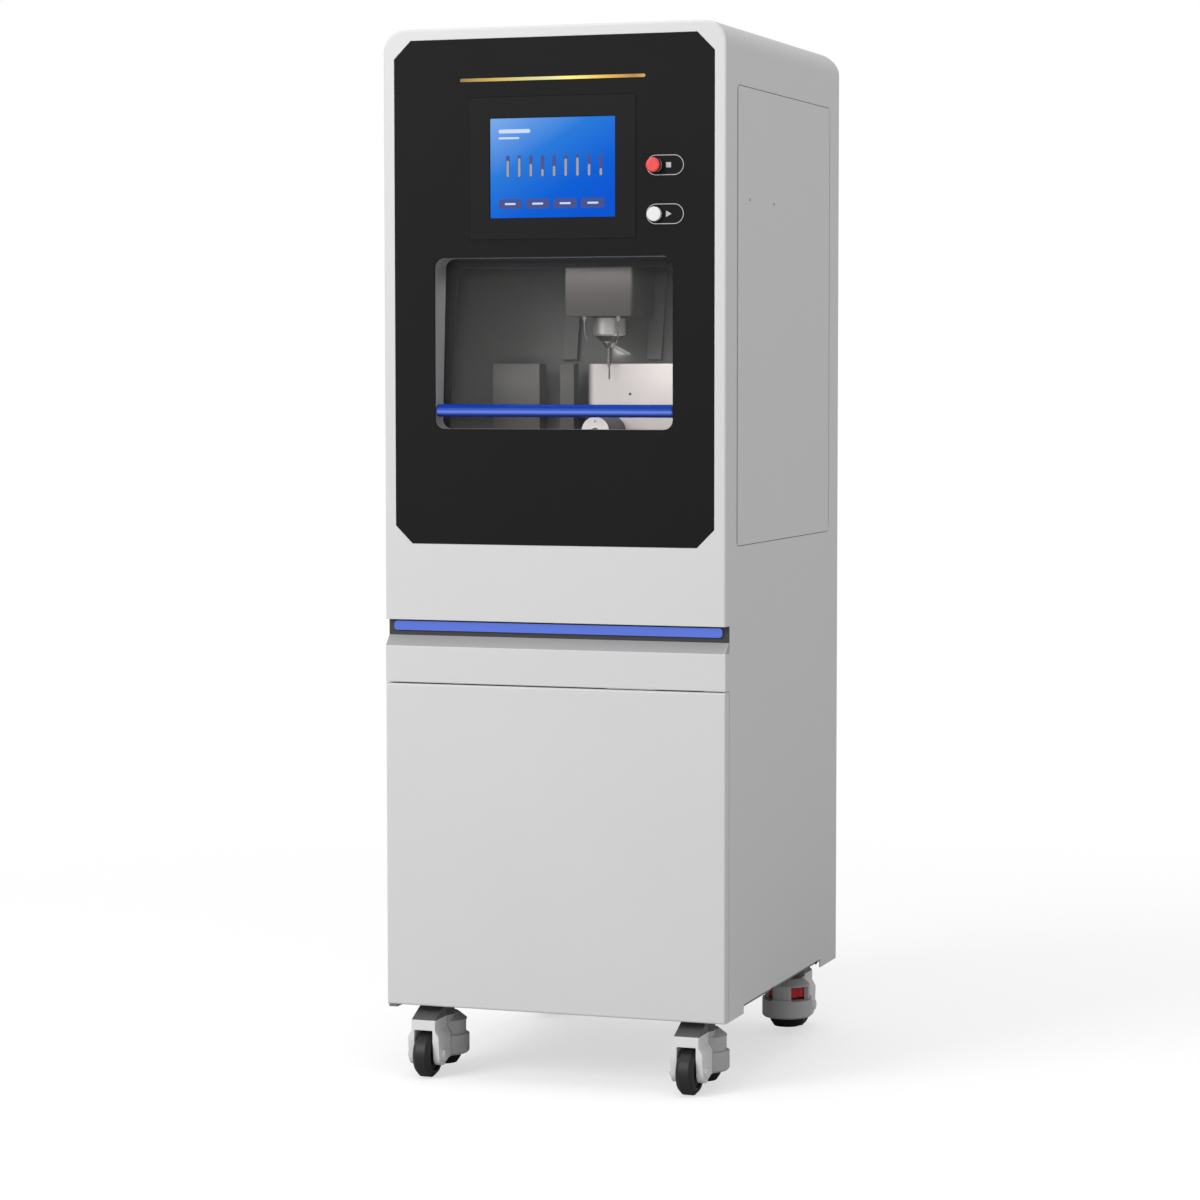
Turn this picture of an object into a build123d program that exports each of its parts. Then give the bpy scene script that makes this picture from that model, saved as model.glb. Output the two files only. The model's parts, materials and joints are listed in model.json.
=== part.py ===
from build123d import *
import math
import os

os.makedirs("parts", exist_ok=True)

# All sizes in millimetres. The origin is on the ground under the middle of the machine.
# X points to the right, the front faces -Y, and Z is up. Heights are measured from the
# cabinet's lower edge, and depths from the cabinet's front face.

# Cabinet
cabinet_width = 560.0
cabinet_depth = 646.0
cabinet_height = 1531.0
ground_clearance = 116.0
sheet = 2.0
top_radius = 36.0
rim_radius = 4.0
front_wall = 5.0
upper_unit_height = 919.0
side_wall_front = 20.0
flush_gap = 1.0
skirt_notch_height = 14.0
skirt_foot_length = 100.0
inner_half_width = cabinet_width / 2 - sheet
inner_rear = cabinet_depth - sheet
inner_top = cabinet_height - sheet
upper_front_bottom = cabinet_height - upper_unit_height

# Fits
running_clearance = 0.05
seat_gap = 0.3
slide_gap = 0.5

# Black front panel
fascia_side_margin = 19.0
fascia_top_margin = 18.0
fascia_height = 781.0
fascia_cut = 28.0
fascia_thickness = 3.0
fascia_width = cabinet_width - 2 * fascia_side_margin
fascia_top = cabinet_height - fascia_top_margin
fascia_bottom = fascia_top - fascia_height

# Display
display_width = 204.0
display_height = 153.0
display_below_top = 199.3
display_recess = 1.0
display_body_margin = 13.0
display_body_depth = 30.0
bezel_side_border = 34.0
bezel_top_border = 33.0
bezel_proud = 0.8
display_middle = fascia_top - display_below_top
display_body_width = display_width + 2 * display_body_margin
display_body_height = display_height + 2 * display_body_margin
bezel_width = display_width + 2 * bezel_side_border
bezel_height = display_height + 2 * bezel_top_border

# Accent line
accent_length = 302.0
accent_below_top = 63.0
accent_thickness = 5.0
accent_proud = 0.8
accent_height = fascia_top - accent_below_top

# Push buttons
button_margin = 30.4
button_spacing = 74.0
button_stem_radius = 8.5
button_barrel_radius = 10.0
button_collar_radius = 11.0
button_collar_proud = 1.5
button_barrel_depth = 25.0
stop_head_radius = 11.5
stop_head_proud = 13.0
stop_crown = 3.0
stop_travel = 4.0
start_head_radius = 11.0
start_head_proud = 7.0
start_crown = 1.0
start_travel = 3.0
pill_width = 60.0
pill_height = 31.0
pill_line = 1.2
pill_proud = 0.4
pill_margin = 3.0
button_x = bezel_width / 2 + button_margin
stop_height = display_middle + seat_gap
start_height = stop_height - button_spacing

# Window and its sliding sash
window_width = 389.4
window_height = 265.1
window_over_panel_edge = 179.5
window_radius = 15.0
surround_wall = 4.0
sash_depth = 33.0
sash_tilt = 3.66
sash_thickness = 5.0
sash_corner = 3.0
sash_overlap_side = 19.0
sash_overlap_bottom = 6.0
sash_overlap_top = 26.9
sash_travel = 215.0
handle_diameter = 20.0
handle_rise = 28.5
handle_depth = 12.0
handle_end_gap = 0.9
handle_end_radius = 2.0
handle_web = 4.0
handle_web_inset = 14.0
rail_wall = 2.0
rail_lip = 10.0
rail_end_margin = 3.0
rail_leg = 20.0
rail_leg_gap = 0.65
window_bottom = fascia_bottom + window_over_panel_edge
window_top = window_bottom + window_height
window_middle = (window_bottom + window_top) / 2
handle_height = window_bottom + handle_rise
sash_length = window_height + sash_overlap_bottom + sash_overlap_top
rail_length = sash_length + sash_travel + rail_end_margin

# Dark frame behind the sash, round the mouth of the chamber
mouth_thickness = 2.0
mouth_top_half_width = 178.0
mouth_bottom_half_width = 190.0
mouth_head = 13.0
mouth_radius = 20.0

# Light strip, header panel and lower door
groove_opening = 42.0
groove_depth = 16.0
strip_end_margin = 10.0
strip_height = 14.0
strip_top_gap = 3.5
strip_thickness = 4.0
ledge_rise = 16.0
header_face_height = 57.0
header_edge_radius = 1.5
door_gap = 2.0
door_thickness = 18.0
door_edge_radius = 3.0
door_pivot_inset = 8.0
pivot_pin_radius = 3.0
pivot_pin_length = 12.0
pivot_block = 14.0
pivot_block_height = 6.0
door_stiffener = 40.0
tongue_thickness = 4.0
strip_half_length = cabinet_width / 2 - strip_end_margin
strip_middle = upper_front_bottom - strip_top_gap - strip_height / 2
ledge_front_height = upper_front_bottom - groove_opening
ledge_back_height = ledge_front_height + ledge_rise
door_gap_height = ledge_front_height - header_face_height - door_gap

# Base frame and middle deck
base_bottom = 10.0
base_thickness = 4.0
base_flange = 26.0
deck_drop = 8.0
deck_thickness = 4.0
deck_flange = 20.0
base_front = side_wall_front + sheet
deck_top = upper_front_bottom - deck_drop

# Service panels and rear panels
service_end_margin = 56.0
service_top_margin = 93.5
service_radius = 12.0
panel_lip = 12.0
rear_panel_side_margin = 50.0
rear_upper_over_deck = 36.0
rear_upper_top_margin = 91.0
rear_lower_bottom = 60.0
rear_lower_under_deck = 44.0
rear_panel_radius = 8.0
vent_slot_length = 90.0
vent_slot_height = 6.0
vent_pitch = 14.0
vent_rows = 9
service_front = service_end_margin
service_rear = cabinet_depth - service_end_margin
service_bottom = fascia_bottom
service_top = cabinet_height - service_top_margin
rear_panel_half_width = cabinet_width / 2 - rear_panel_side_margin
rear_upper_bottom = deck_top + rear_upper_over_deck
rear_upper_top = cabinet_height - rear_upper_top_margin
rear_lower_top = deck_top - rear_lower_under_deck

# Milling chamber
chamber_side_space = 26.0
chamber_under_window = 49.5
chamber_head_drop = 0.6
chamber_radius = 25.0
chamber_back_depth = 195.0
chamber_back_slope = 12.08
chamber_sheet = 2.0
liner_front_gap = 3.5
guide_depth = 8.0
guide_width = 25.0
guide_left_x = -46.0
guide_right_x = 96.0
guide_floor_gap = 158.0
guide_ceiling_gap = 16.0
chamber_half_width = inner_half_width - chamber_side_space
chamber_floor = window_bottom - chamber_under_window
chamber_ceiling = window_top - chamber_head_drop
guide_bottom = chamber_floor + guide_floor_gap
guide_top = chamber_ceiling - guide_ceiling_gap

# Spindle unit
spindle_x = 40.0
spindle_depth = 154.0
head_width = 112.0
head_front = 100.0
head_rear = 210.0
head_drop = 89.0
head_height = 213.0
head_sheet = 2.0
head_radius = 5.0
spindle_body_radius = 38.0
spindle_cap_gap = 10.0
nose_radius = 26.0
nose_length = 31.0
nose_bevel = 3.0
nose_cone_radius = 13.0
nose_cone_length = 8.0
spindle_shaft_radius = 8.0
spindle_shaft_length = 70.0
clamp_half_width = 30.0
clamp_height = 70.0
clamp_bite = 8.0
collet_radius = 12.0
collet_tip_radius = 5.5
collet_length = 10.0
collet_collar = 2.0
collet_flats = 8
collet_flat_radius = 2.6
collet_flat_offset = 1.2
tool_shank_radius = 4.0
tool_shank_length = 24.0
tool_neck_radius = 1.5
tool_taper = 6.0
tool_neck_length = 20.0
tool_tip_radius = 0.9
tool_grip = 24.0
x_travel = 50.0
z_travel_up = 60.0
z_travel_down = 20.0
head_bottom = chamber_ceiling - head_drop
head_top = head_bottom + head_height
nose_bottom = head_bottom - nose_length
nose_cone_bottom = nose_bottom - nose_cone_length
tool_shank_bottom = nose_cone_bottom - collet_length - tool_shank_length
tool_neck_top = tool_shank_bottom - tool_taper
tool_tip = tool_neck_top - tool_neck_length

# Axes behind the chamber
beam_front = 296.0
beam_depth = 40.0
beam_over_ceiling = 44.0
beam_height = 240.0
post_front = 64.0
post_depth = 26.0
brace_over_deck = 60.0
brace_height = 24.0
sill_height = 20.0
rail_height = 15.0
rail_depth = 14.0
rail_end_gap = 17.0
rail_inset = 50.0
shoe_margin = 9.0
shoe_gap = 1.5
carriage_half_width = 68.0
carriage_thickness = 12.0
carriage_over_ceiling = 64.0
z_rail_offset = 44.0
z_rail_width = 12.0
z_rail_depth = 10.0
z_rail_overrun = 5.0
z_plate_thickness = 10.0
z_plate_half_width = 56.0
z_plate_height = 120.0
z_bracket_half_width = 30.0
screw_radius = 8.0
screw_offset = 13.0
x_screw_left_margin = 62.0
x_screw_right_margin = 47.0
bearing_length = 16.0
bearing_depth = 26.0
bearing_height = 30.0
nut_length = 40.0
nut_height = 28.0
z_screw_radius = 5.0
z_screw_offset = 12.0
z_screw_end = 5.7
motor_size = 42.0
motor_length = 60.0
motor_plate = 6.0
motor_plate_margin = 2.0
slot_cover_thickness = 2.0
slot_margin = 6.0
slot_cover_lift = 2.0
slot_arm_width = 8.0
beam_rear = beam_front + beam_depth
beam_bottom = chamber_ceiling + beam_over_ceiling
beam_top = beam_bottom + beam_height
post_rear = post_front + post_depth
column_width = chamber_side_space - sheet
lower_rail = beam_bottom + rail_inset
upper_rail = beam_top - rail_inset
rail_half_length = chamber_half_width - rail_end_gap
screw_height = (lower_rail + upper_rail) / 2
x_screw_left = x_screw_left_margin - chamber_half_width
x_screw_right = chamber_half_width - x_screw_right_margin
carriage_bottom = chamber_ceiling + carriage_over_ceiling
z_plate_bottom = carriage_bottom + z_travel_down - z_rail_overrun
z_plate_top = z_plate_bottom + z_plate_height
carriage_top = z_plate_top + z_travel_up + z_rail_overrun
z_screw_bottom = carriage_bottom + z_rail_overrun
z_screw_top = carriage_top + z_screw_end
screw_depth = beam_front - screw_offset

# Work unit
work_floor_gap = 13.0
work_head_room = 163.0
work_axis_rise = 32.0
work_left_margin = 42.0
work_width = 192.0
work_front = 165.0
work_length = 165.0
work_radius = 12.0
work_top_radius = 2.0
work_wall = 8.0
chuck_radius = 23.5
chuck_bevel = 1.5
chuck_length = 80.0
chuck_shaft_radius = 15.0
chuck_shaft_length = 40.0
chuck_bore_radius = 6.0
chuck_bore_depth = 20.0
chuck_screw_circle = 32.0
chuck_screw_radius = 2.2
chuck_screw_depth = 4.0
y_rail_front = 200.0
y_rail_height = 10.0
y_rail_width = 15.0
y_rail_inset = 48.0
shelf_thickness = 10.0
shelf_overrun = 10.0
work_left = spindle_x - work_left_margin
work_right = work_left + work_width
work_rear = work_front + work_length
work_bottom = chamber_floor + work_floor_gap
work_top = chamber_ceiling - work_head_room
work_axis_height = work_bottom + work_axis_rise
chuck_front = work_front - chuck_length

# Tool magazine and sensor post
magazine_left = -155.0
magazine_width = 79.0
magazine_front = 150.0
magazine_depth = 31.0
magazine_bores = 5
magazine_bore_radius = 3.05
magazine_bore_depth = 20.0
magazine_bore_pitch = 13.0
magazine_bore_inset = 15.0
post_gap = 32.0
post_width = 23.0
post_setback = 8.0
magazine_right = magazine_left + magazine_width
magazine_rear = magazine_front + magazine_depth
magazine_top = work_top
post_left = magazine_right + post_gap
post_right = post_left + post_width

# Dust duct and port
dust_side_margin = 80.0
dust_inlet_width = 120.0
dust_inlet_depth = 80.0
dust_inlet_middle = 112.0
dust_over_deck = 96.0
dust_bend_radius = 60.0
dust_tube_radius = 30.0
dust_wall = 2.0
dust_recess = 24.0
dust_proud = 18.0
dust_flange_width = 14.0
dust_lip = 6.0
dust_x = dust_side_margin - rear_panel_half_width
dust_outlet_height = deck_top + dust_over_deck
dust_flange_radius = dust_tube_radius + dust_flange_width

# Control box and power inlet
control_side_margin = 88.0
control_depth = 180.0
control_rear_margin = 26.0
control_head_room = 160.0
control_corner = 6.0
inlet_side_margin = 50.0
inlet_height = 120.0
inlet_width = 30.0
inlet_tall = 24.0
inlet_cavity_width = 24.0
inlet_cavity_tall = 16.0
inlet_cavity_depth = 16.0
inlet_depth = 24.0
control_half_width = inner_half_width - control_side_margin
control_rear = cabinet_depth - control_rear_margin
control_front = control_rear - control_depth
control_height = deck_top - base_bottom - base_thickness - control_head_room
inlet_x = rear_panel_half_width - inlet_side_margin

# Levelling castors: heights from the ground, depths behind the swivel axis
caster_side_margin = 62.0
caster_front_depth = 66.0
caster_plate_size = 90.0
caster_plate_corner = 8.0
caster_plate_thickness = 5.0
caster_hole_spacing = 70.0
caster_hole_radius = 4.5
race_radius = 27.0
race_drop = 8.0
kingpin_radius = 8.0
kingpin_length = 21.0
neck_height = 19.3
neck_radius = 25.0
hood_slope_start = 24.0
wheel_radius = 36.5
wheel_width = 28.0
wheel_chamfer = 6.0
wheel_dish = 4.0
wheel_rim = 5.0
wheel_hub = 5.0
wheel_side_gap = 1.5
wheel_top_gap = 3.0
axle_radius = 5.0
axle_head_radius = 9.0
axle_head_length = 5.0
bridge_half_width = 20.0
bridge_gap = 4.0
bridge_overhang = 20.0
arm_half_width = 26.0
arm_flare = 11.0
arm_end_radius = 17.0
boss_radius = 42.0
boss_bottom = 28.0
boss_height = 32.0
boss_edge = 3.0
body_radius = 38.0
shoulder_height = 10.4
thumb_window_height = 23.0
thumb_window_drop = 12.4
thumb_window_reach = 60.0
thumb_window_setback = 4.0
thumb_post_half_width = 15.0
thumb_chamber_gap = 1.0
thumb_radius = 30.0
thumb_height = 16.0
thumb_rim_drop = 2.0
thumb_hub_radius = 14.0
thumb_notches = 10
thumb_notch_radius = 3.0
thumb_notch_offset = 1.0
stem_radius = 7.0
stem_end_gap = 3.4
pad_offset = 18.0
pad_radius = 28.0
pad_bottom_radius = 22.0
pad_bottom = 12.0
pad_taper = 9.0
pad_clear_of_wheel = 1.5
caster_x = cabinet_width / 2 - caster_side_margin
plate_top = ground_clearance + base_bottom
race_bottom = plate_top - caster_plate_thickness - race_drop
kingpin_bottom = race_bottom - kingpin_length
neck_top = race_bottom - seat_gap
fork_top = neck_top - neck_height
stem_top = fork_top - stem_end_gap
thumb_window_top = fork_top - thumb_window_drop
thumb_window_bottom = thumb_window_top - thumb_window_height
boss_top = boss_bottom + boss_height
wheel_trail = wheel_radius + pad_radius + pad_clear_of_wheel - pad_offset
slot_radius = wheel_radius + wheel_top_gap
slot_half_width = wheel_width / 2 + wheel_side_gap
bridge_bottom = 2 * wheel_radius + bridge_gap
fork_front = -wheel_trail - bridge_overhang


def back(depth):
    """Y of a point that lies a depth behind the cabinet's front face."""
    return depth - cabinet_depth / 2


def up(height):
    """Z of a point at a height above the cabinet's lower edge."""
    return ground_clearance + height


def front_plane(depth):
    """Plane that faces the front, a depth behind the front face, with X and Z as its axes."""
    return Plane.XZ.offset(-back(depth))


def level_plane(height):
    """Horizontal plane at a height above the cabinet's lower edge."""
    return Plane.XY.offset(up(height))


def side_plane(x):
    """Plane that faces right, with Y and Z as its axes."""
    return Plane.YZ.offset(x)


def block(x_low, x_high, depth_low, depth_high, low, high, mode=Mode.ADD):
    """Straight block between two corners, in the cabinet's depths and heights."""
    middle = ((x_low + x_high) / 2, back((depth_low + depth_high) / 2), up((low + high) / 2))
    with Locations(middle):
        Box(x_high - x_low, depth_high - depth_low, high - low, mode=mode)


def rounded_case(half_width, depth_low, depth_high, low, high, radius):
    """Block with rounded upper side edges and a rounded upper rear edge."""
    with BuildPart() as case:
        with BuildSketch(front_plane(depth_low)) as face:
            with Locations((0, up((low + high) / 2))):
                Rectangle(2 * half_width, high - low)
            fillet(face.vertices().group_by(Axis.Y)[-1], radius)
        extrude(amount=depth_low - depth_high)
        with BuildSketch(side_plane(-half_width)) as side:
            with Locations((back((depth_low + depth_high) / 2), up((low + high) / 2))):
                Rectangle(depth_high - depth_low, high - low)
            fillet(side.vertices().group_by(Axis.Y)[-1].sort_by(Axis.X)[-1], radius)
        extrude(amount=2 * half_width, mode=Mode.INTERSECT)
    return case.part


def cut_corner_panel(width, low, high, cut):
    """Outline of the front panel: a rectangle with four cut corners."""
    with BuildSketch() as outline:
        with Locations((0, up((low + high) / 2))):
            Rectangle(width, high - low)
        chamfer(outline.vertices(), cut)
    return outline.sketch


def finish(part, name):
    """Names a finished piece and writes it."""
    part.label = name
    export_step(part, "parts/" + name + ".step")


tilt = math.radians(sash_tilt)
sash_front = Plane(
    origin=(0, back(sash_depth), up(window_bottom)),
    x_dir=(1, 0, 0),
    z_dir=(0, -math.cos(tilt), math.sin(tilt)),
)
back_slope = math.radians(chamber_back_slope)
chamber_back = Plane(
    origin=(0, back(chamber_back_depth), up(window_bottom)),
    x_dir=(1, 0, 0),
    z_dir=(0, math.cos(back_slope), -math.sin(back_slope)),
)

# Cabinet shell: one wrapped sheet with the upper front, the sides, the top and the rear wall
outer_case = rounded_case(cabinet_width / 2, 0, cabinet_depth, 0, cabinet_height, top_radius)
rear_space = rounded_case(
    inner_half_width, side_wall_front, inner_rear, -sheet, inner_top, top_radius - sheet
)
front_space = rounded_case(
    inner_half_width,
    front_wall,
    inner_rear - sheet,
    upper_front_bottom + sheet,
    inner_top,
    top_radius - sheet,
)
with BuildPart() as cabinet_shell:
    add(outer_case)
    rim = cabinet_shell.faces().sort_by(Axis.Y)[0].edges().group_by(Axis.Z)[1:]
    fillet([edge for row in rim for edge in row], rim_radius)
    add(rear_space, mode=Mode.SUBTRACT)
    add(front_space, mode=Mode.SUBTRACT)
    block(
        -cabinet_width,
        cabinet_width,
        -sheet,
        side_wall_front,
        -sheet,
        upper_front_bottom,
        mode=Mode.SUBTRACT,
    )
    # Recess that takes the black front panel
    with BuildSketch(front_plane(0)) as pocket:
        add(
            cut_corner_panel(
                fascia_width + 2 * slide_gap,
                fascia_bottom - slide_gap,
                fascia_top + slide_gap,
                fascia_cut,
            )
        )
    extrude(amount=-fascia_thickness, mode=Mode.SUBTRACT)
    # Openings for the window surround, the display and the two buttons
    with BuildSketch(front_plane(0)) as openings:
        with Locations((0, up(window_middle))):
            RectangleRounded(
                window_width + 2 * (surround_wall + slide_gap),
                window_height + 2 * (surround_wall + slide_gap),
                window_radius + surround_wall,
            )
        with Locations((0, up(display_middle))):
            Rectangle(display_body_width + 2 * slide_gap, display_body_height + 2 * slide_gap)
        with Locations((button_x, up(stop_height)), (button_x, up(start_height))):
            Circle(button_barrel_radius + seat_gap)
    extrude(amount=-front_wall, mode=Mode.SUBTRACT)
    # Openings for the service panels in both sides
    with BuildSketch(side_plane(-cabinet_width / 2)) as side_openings:
        with Locations(
            (back((service_front + service_rear) / 2), up((service_bottom + service_top) / 2))
        ):
            RectangleRounded(
                service_rear - service_front, service_top - service_bottom, service_radius
            )
    extrude(amount=cabinet_width, mode=Mode.SUBTRACT)
    # Openings for the two rear panels
    with BuildSketch(front_plane(cabinet_depth)) as rear_openings:
        for low, high in (
            (rear_lower_bottom, rear_lower_top),
            (rear_upper_bottom, rear_upper_top),
        ):
            with Locations((0, up((low + high) / 2))):
                RectangleRounded(2 * rear_panel_half_width, high - low, rear_panel_radius)
    extrude(amount=2 * sheet, mode=Mode.SUBTRACT)
    # Raised stretch of the lower edge between the front and rear feet of the skirt
    block(
        -cabinet_width,
        cabinet_width,
        skirt_foot_length,
        cabinet_depth - skirt_foot_length,
        -sheet,
        skirt_notch_height,
        mode=Mode.SUBTRACT,
    )
finish(cabinet_shell.part, "cabinet_shell")


def flush_panel(plane, middle, width, height, radius, lip_side):
    """Flush cover: a plate in the opening with a wider lip behind it."""
    with BuildPart() as panel:
        with BuildSketch(plane):
            with Locations(middle):
                RectangleRounded(width - 2 * flush_gap, height - 2 * flush_gap, radius)
        extrude(amount=lip_side * sheet)
        with BuildSketch(plane.offset(lip_side * sheet)):
            with Locations(middle):
                RectangleRounded(width + 2 * panel_lip, height + 2 * panel_lip, radius)
        extrude(amount=lip_side * sheet)
    return panel.part


# Service panels in the sides
service_middle = (
    back((service_front + service_rear) / 2),
    up((service_bottom + service_top) / 2),
)
service_length = service_rear - service_front
service_height = service_top - service_bottom
for name, side in (("service_panel_right", 1), ("service_panel_left", -1)):
    panel_part = flush_panel(
        side_plane(side * cabinet_width / 2),
        service_middle,
        service_length,
        service_height,
        service_radius,
        -side,
    )
    finish(panel_part, name)

# Rear panels with ventilation slots, an inlet hole below and the dust port's hole above
upper_panel = flush_panel(
    front_plane(cabinet_depth),
    (0, up((rear_upper_bottom + rear_upper_top) / 2)),
    2 * rear_panel_half_width,
    rear_upper_top - rear_upper_bottom,
    rear_panel_radius,
    1,
)
with BuildPart() as rear_panel_upper:
    add(upper_panel)
    with BuildSketch(front_plane(cabinet_depth)):
        with Locations((0, up(rear_upper_top - vent_rows * vent_pitch))):
            with GridLocations(2 * vent_slot_length, vent_pitch, 2, vent_rows):
                Rectangle(vent_slot_length, vent_slot_height)
        with Locations((dust_x, up(dust_outlet_height))):
            Circle(dust_flange_radius + flush_gap)
    extrude(amount=2 * sheet, mode=Mode.SUBTRACT)
finish(rear_panel_upper.part, "rear_panel_upper")

lower_panel = flush_panel(
    front_plane(cabinet_depth),
    (0, up((rear_lower_bottom + rear_lower_top) / 2)),
    2 * rear_panel_half_width,
    rear_lower_top - rear_lower_bottom,
    rear_panel_radius,
    1,
)
with BuildPart() as rear_panel_lower:
    add(lower_panel)
    with BuildSketch(front_plane(cabinet_depth)):
        with Locations((0, up(rear_lower_top - vent_rows * vent_pitch))):
            with GridLocations(2 * vent_slot_length, vent_pitch, 2, vent_rows):
                Rectangle(vent_slot_length, vent_slot_height)
        with Locations((inlet_x, up(inlet_height))):
            Rectangle(inlet_width + 2 * seat_gap, inlet_tall + 2 * seat_gap)
    extrude(amount=2 * sheet, mode=Mode.SUBTRACT)
finish(rear_panel_lower.part, "rear_panel_lower")

# Power inlet: a socket body let into the lower rear panel, with a collar behind the panel
with BuildPart() as power_inlet:
    inlet_front = cabinet_depth - inlet_depth
    block(
        inlet_x - inlet_width / 2,
        inlet_x + inlet_width / 2,
        inlet_front,
        cabinet_depth,
        inlet_height - inlet_tall / 2,
        inlet_height + inlet_tall / 2,
    )
    block(
        inlet_x - inlet_width / 2 - sheet,
        inlet_x + inlet_width / 2 + sheet,
        cabinet_depth - 3 * sheet,
        cabinet_depth - 2 * sheet,
        inlet_height - inlet_tall / 2 - sheet,
        inlet_height + inlet_tall / 2 + sheet,
    )
    block(
        inlet_x - inlet_cavity_width / 2,
        inlet_x + inlet_cavity_width / 2,
        cabinet_depth - inlet_cavity_depth,
        cabinet_depth + sheet,
        inlet_height - inlet_cavity_tall / 2,
        inlet_height + inlet_cavity_tall / 2,
        mode=Mode.SUBTRACT,
    )
finish(power_inlet.part, "power_inlet")

# Black front panel with its window, display and button openings
with BuildPart() as front_fascia:
    with BuildSketch(front_plane(0)) as panel_face:
        add(cut_corner_panel(fascia_width, fascia_bottom, fascia_top, fascia_cut))
        with Locations((0, up(window_middle))):
            RectangleRounded(window_width, window_height, window_radius, mode=Mode.SUBTRACT)
        with Locations((0, up(display_middle))):
            Rectangle(bezel_width, bezel_height, mode=Mode.SUBTRACT)
        with Locations((button_x, up(stop_height)), (button_x, up(start_height))):
            Circle(button_barrel_radius + seat_gap, mode=Mode.SUBTRACT)
    extrude(amount=-fascia_thickness)
finish(front_fascia.part, "front_fascia")

# Display frame, slightly proud of the panel, and the display behind it
with BuildPart() as screen_bezel:
    with BuildSketch(front_plane(-bezel_proud)):
        with Locations((0, up(display_middle))):
            Rectangle(bezel_width - 2 * seat_gap, bezel_height - 2 * seat_gap)
            Rectangle(display_width, display_height, mode=Mode.SUBTRACT)
    extrude(amount=-(bezel_proud + fascia_thickness))
    chamfer(
        screen_bezel.faces().sort_by(Axis.Y)[0].inner_wires()[0].edges(), bezel_proud
    )
finish(screen_bezel.part, "screen_bezel")

with BuildPart() as touch_screen:
    with BuildSketch(front_plane(display_recess)):
        with Locations((0, up(display_middle))):
            Rectangle(display_width - 2 * seat_gap, display_height - 2 * seat_gap)
    extrude(amount=display_recess - fascia_thickness)
    with BuildSketch(front_plane(fascia_thickness)):
        with Locations((0, up(display_middle))):
            Rectangle(display_body_width, display_body_height)
    extrude(amount=-display_body_depth)
finish(touch_screen.part, "touch_screen")

# Accent line: a thin flat bar with rounded ends
with BuildPart() as accent_trim:
    with BuildSketch(front_plane(0)):
        with Locations((0, up(accent_height))):
            SlotOverall(accent_length, accent_thickness)
    extrude(amount=accent_proud)
finish(accent_trim.part, "accent_trim")

# Button sockets: a barrel with a collar, and the pill-shaped outline round each button
pill_middle = button_x - button_collar_radius - pill_margin + pill_width / 2
with BuildPart() as button_sockets:
    for height in (stop_height, start_height):
        with BuildSketch(front_plane(0)):
            with Locations((pill_middle, up(height))):
                SlotOverall(pill_width, pill_height)
                SlotOverall(
                    pill_width - 2 * pill_line,
                    pill_height - 2 * pill_line,
                    mode=Mode.SUBTRACT,
                )
        extrude(amount=pill_proud)
        with BuildSketch(front_plane(0)):
            with Locations((button_x, up(height))):
                Circle(button_collar_radius)
        extrude(amount=button_collar_proud)
        with BuildSketch(front_plane(0)):
            with Locations((button_x, up(height))):
                Circle(button_barrel_radius)
        extrude(amount=-button_barrel_depth)
        with BuildSketch(front_plane(-button_collar_proud)):
            with Locations((button_x, up(height))):
                Circle(button_stem_radius + running_clearance)
        extrude(amount=-(button_collar_proud + button_barrel_depth), mode=Mode.SUBTRACT)
finish(button_sockets.part, "button_sockets")


def push_button(height, head_radius, head_proud, travel, crown):
    """Push button with a round head in front of its collar and a stem in its barrel."""
    head_back = button_collar_proud + travel + seat_gap
    with BuildPart() as button:
        with BuildSketch(front_plane(-head_proud)):
            with Locations((button_x, up(height))):
                Circle(head_radius)
        extrude(amount=-(head_proud - head_back))
        fillet(button.faces().sort_by(Axis.Y)[0].edges(), crown)
        with BuildSketch(front_plane(-head_back)):
            with Locations((button_x, up(height))):
                Circle(button_stem_radius)
        extrude(amount=-(head_back + button_barrel_depth - travel))
    return button.part


stop_part = push_button(stop_height, stop_head_radius, stop_head_proud, stop_travel, stop_crown)
finish(stop_part, "stop_button")
start_part = push_button(
    start_height, start_head_radius, start_head_proud, start_travel, start_crown
)
finish(start_part, "start_button")

# Window surround: the grey reveal between the front panel and the tilted sash
with BuildPart() as window_surround:
    with BuildSketch(front_plane(fascia_thickness)):
        with Locations((0, up(window_middle))):
            RectangleRounded(
                window_width + 2 * surround_wall,
                window_height + 2 * surround_wall,
                window_radius + surround_wall,
            )
            RectangleRounded(window_width, window_height, window_radius, mode=Mode.SUBTRACT)
    extrude(amount=-2 * sash_depth)
    split(bisect_by=sash_front.offset(slide_gap), keep=Keep.TOP)
finish(window_surround.part, "window_surround")

# Sliding pane of the window
sash_half_width = window_width / 2 + sash_overlap_side
with BuildPart() as sash_pane:
    with BuildSketch(sash_front):
        with Locations((0, sash_length / 2 - sash_overlap_bottom)):
            RectangleRounded(2 * sash_half_width, sash_length, sash_corner)
    extrude(amount=-sash_thickness)
finish(sash_pane.part, "sash_pane")

# Blue handle bar over the whole window, on a web that meets the pane
handle_half_length = window_width / 2 - handle_end_gap
with BuildPart() as sash_handle:
    with BuildSketch(side_plane(-handle_half_length)):
        with Locations((back(handle_depth), up(handle_height))):
            Circle(handle_diameter / 2)
    extrude(amount=2 * handle_half_length)
    fillet(sash_handle.edges().filter_by(GeomType.CIRCLE), handle_end_radius)
    block(
        handle_web_inset - handle_half_length,
        handle_half_length - handle_web_inset,
        handle_depth,
        2 * sash_depth,
        handle_height - handle_web / 2,
        handle_height + handle_web / 2,
    )
    split(bisect_by=sash_front, keep=Keep.TOP)
finish(sash_handle.part, "sash_handle")

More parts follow.
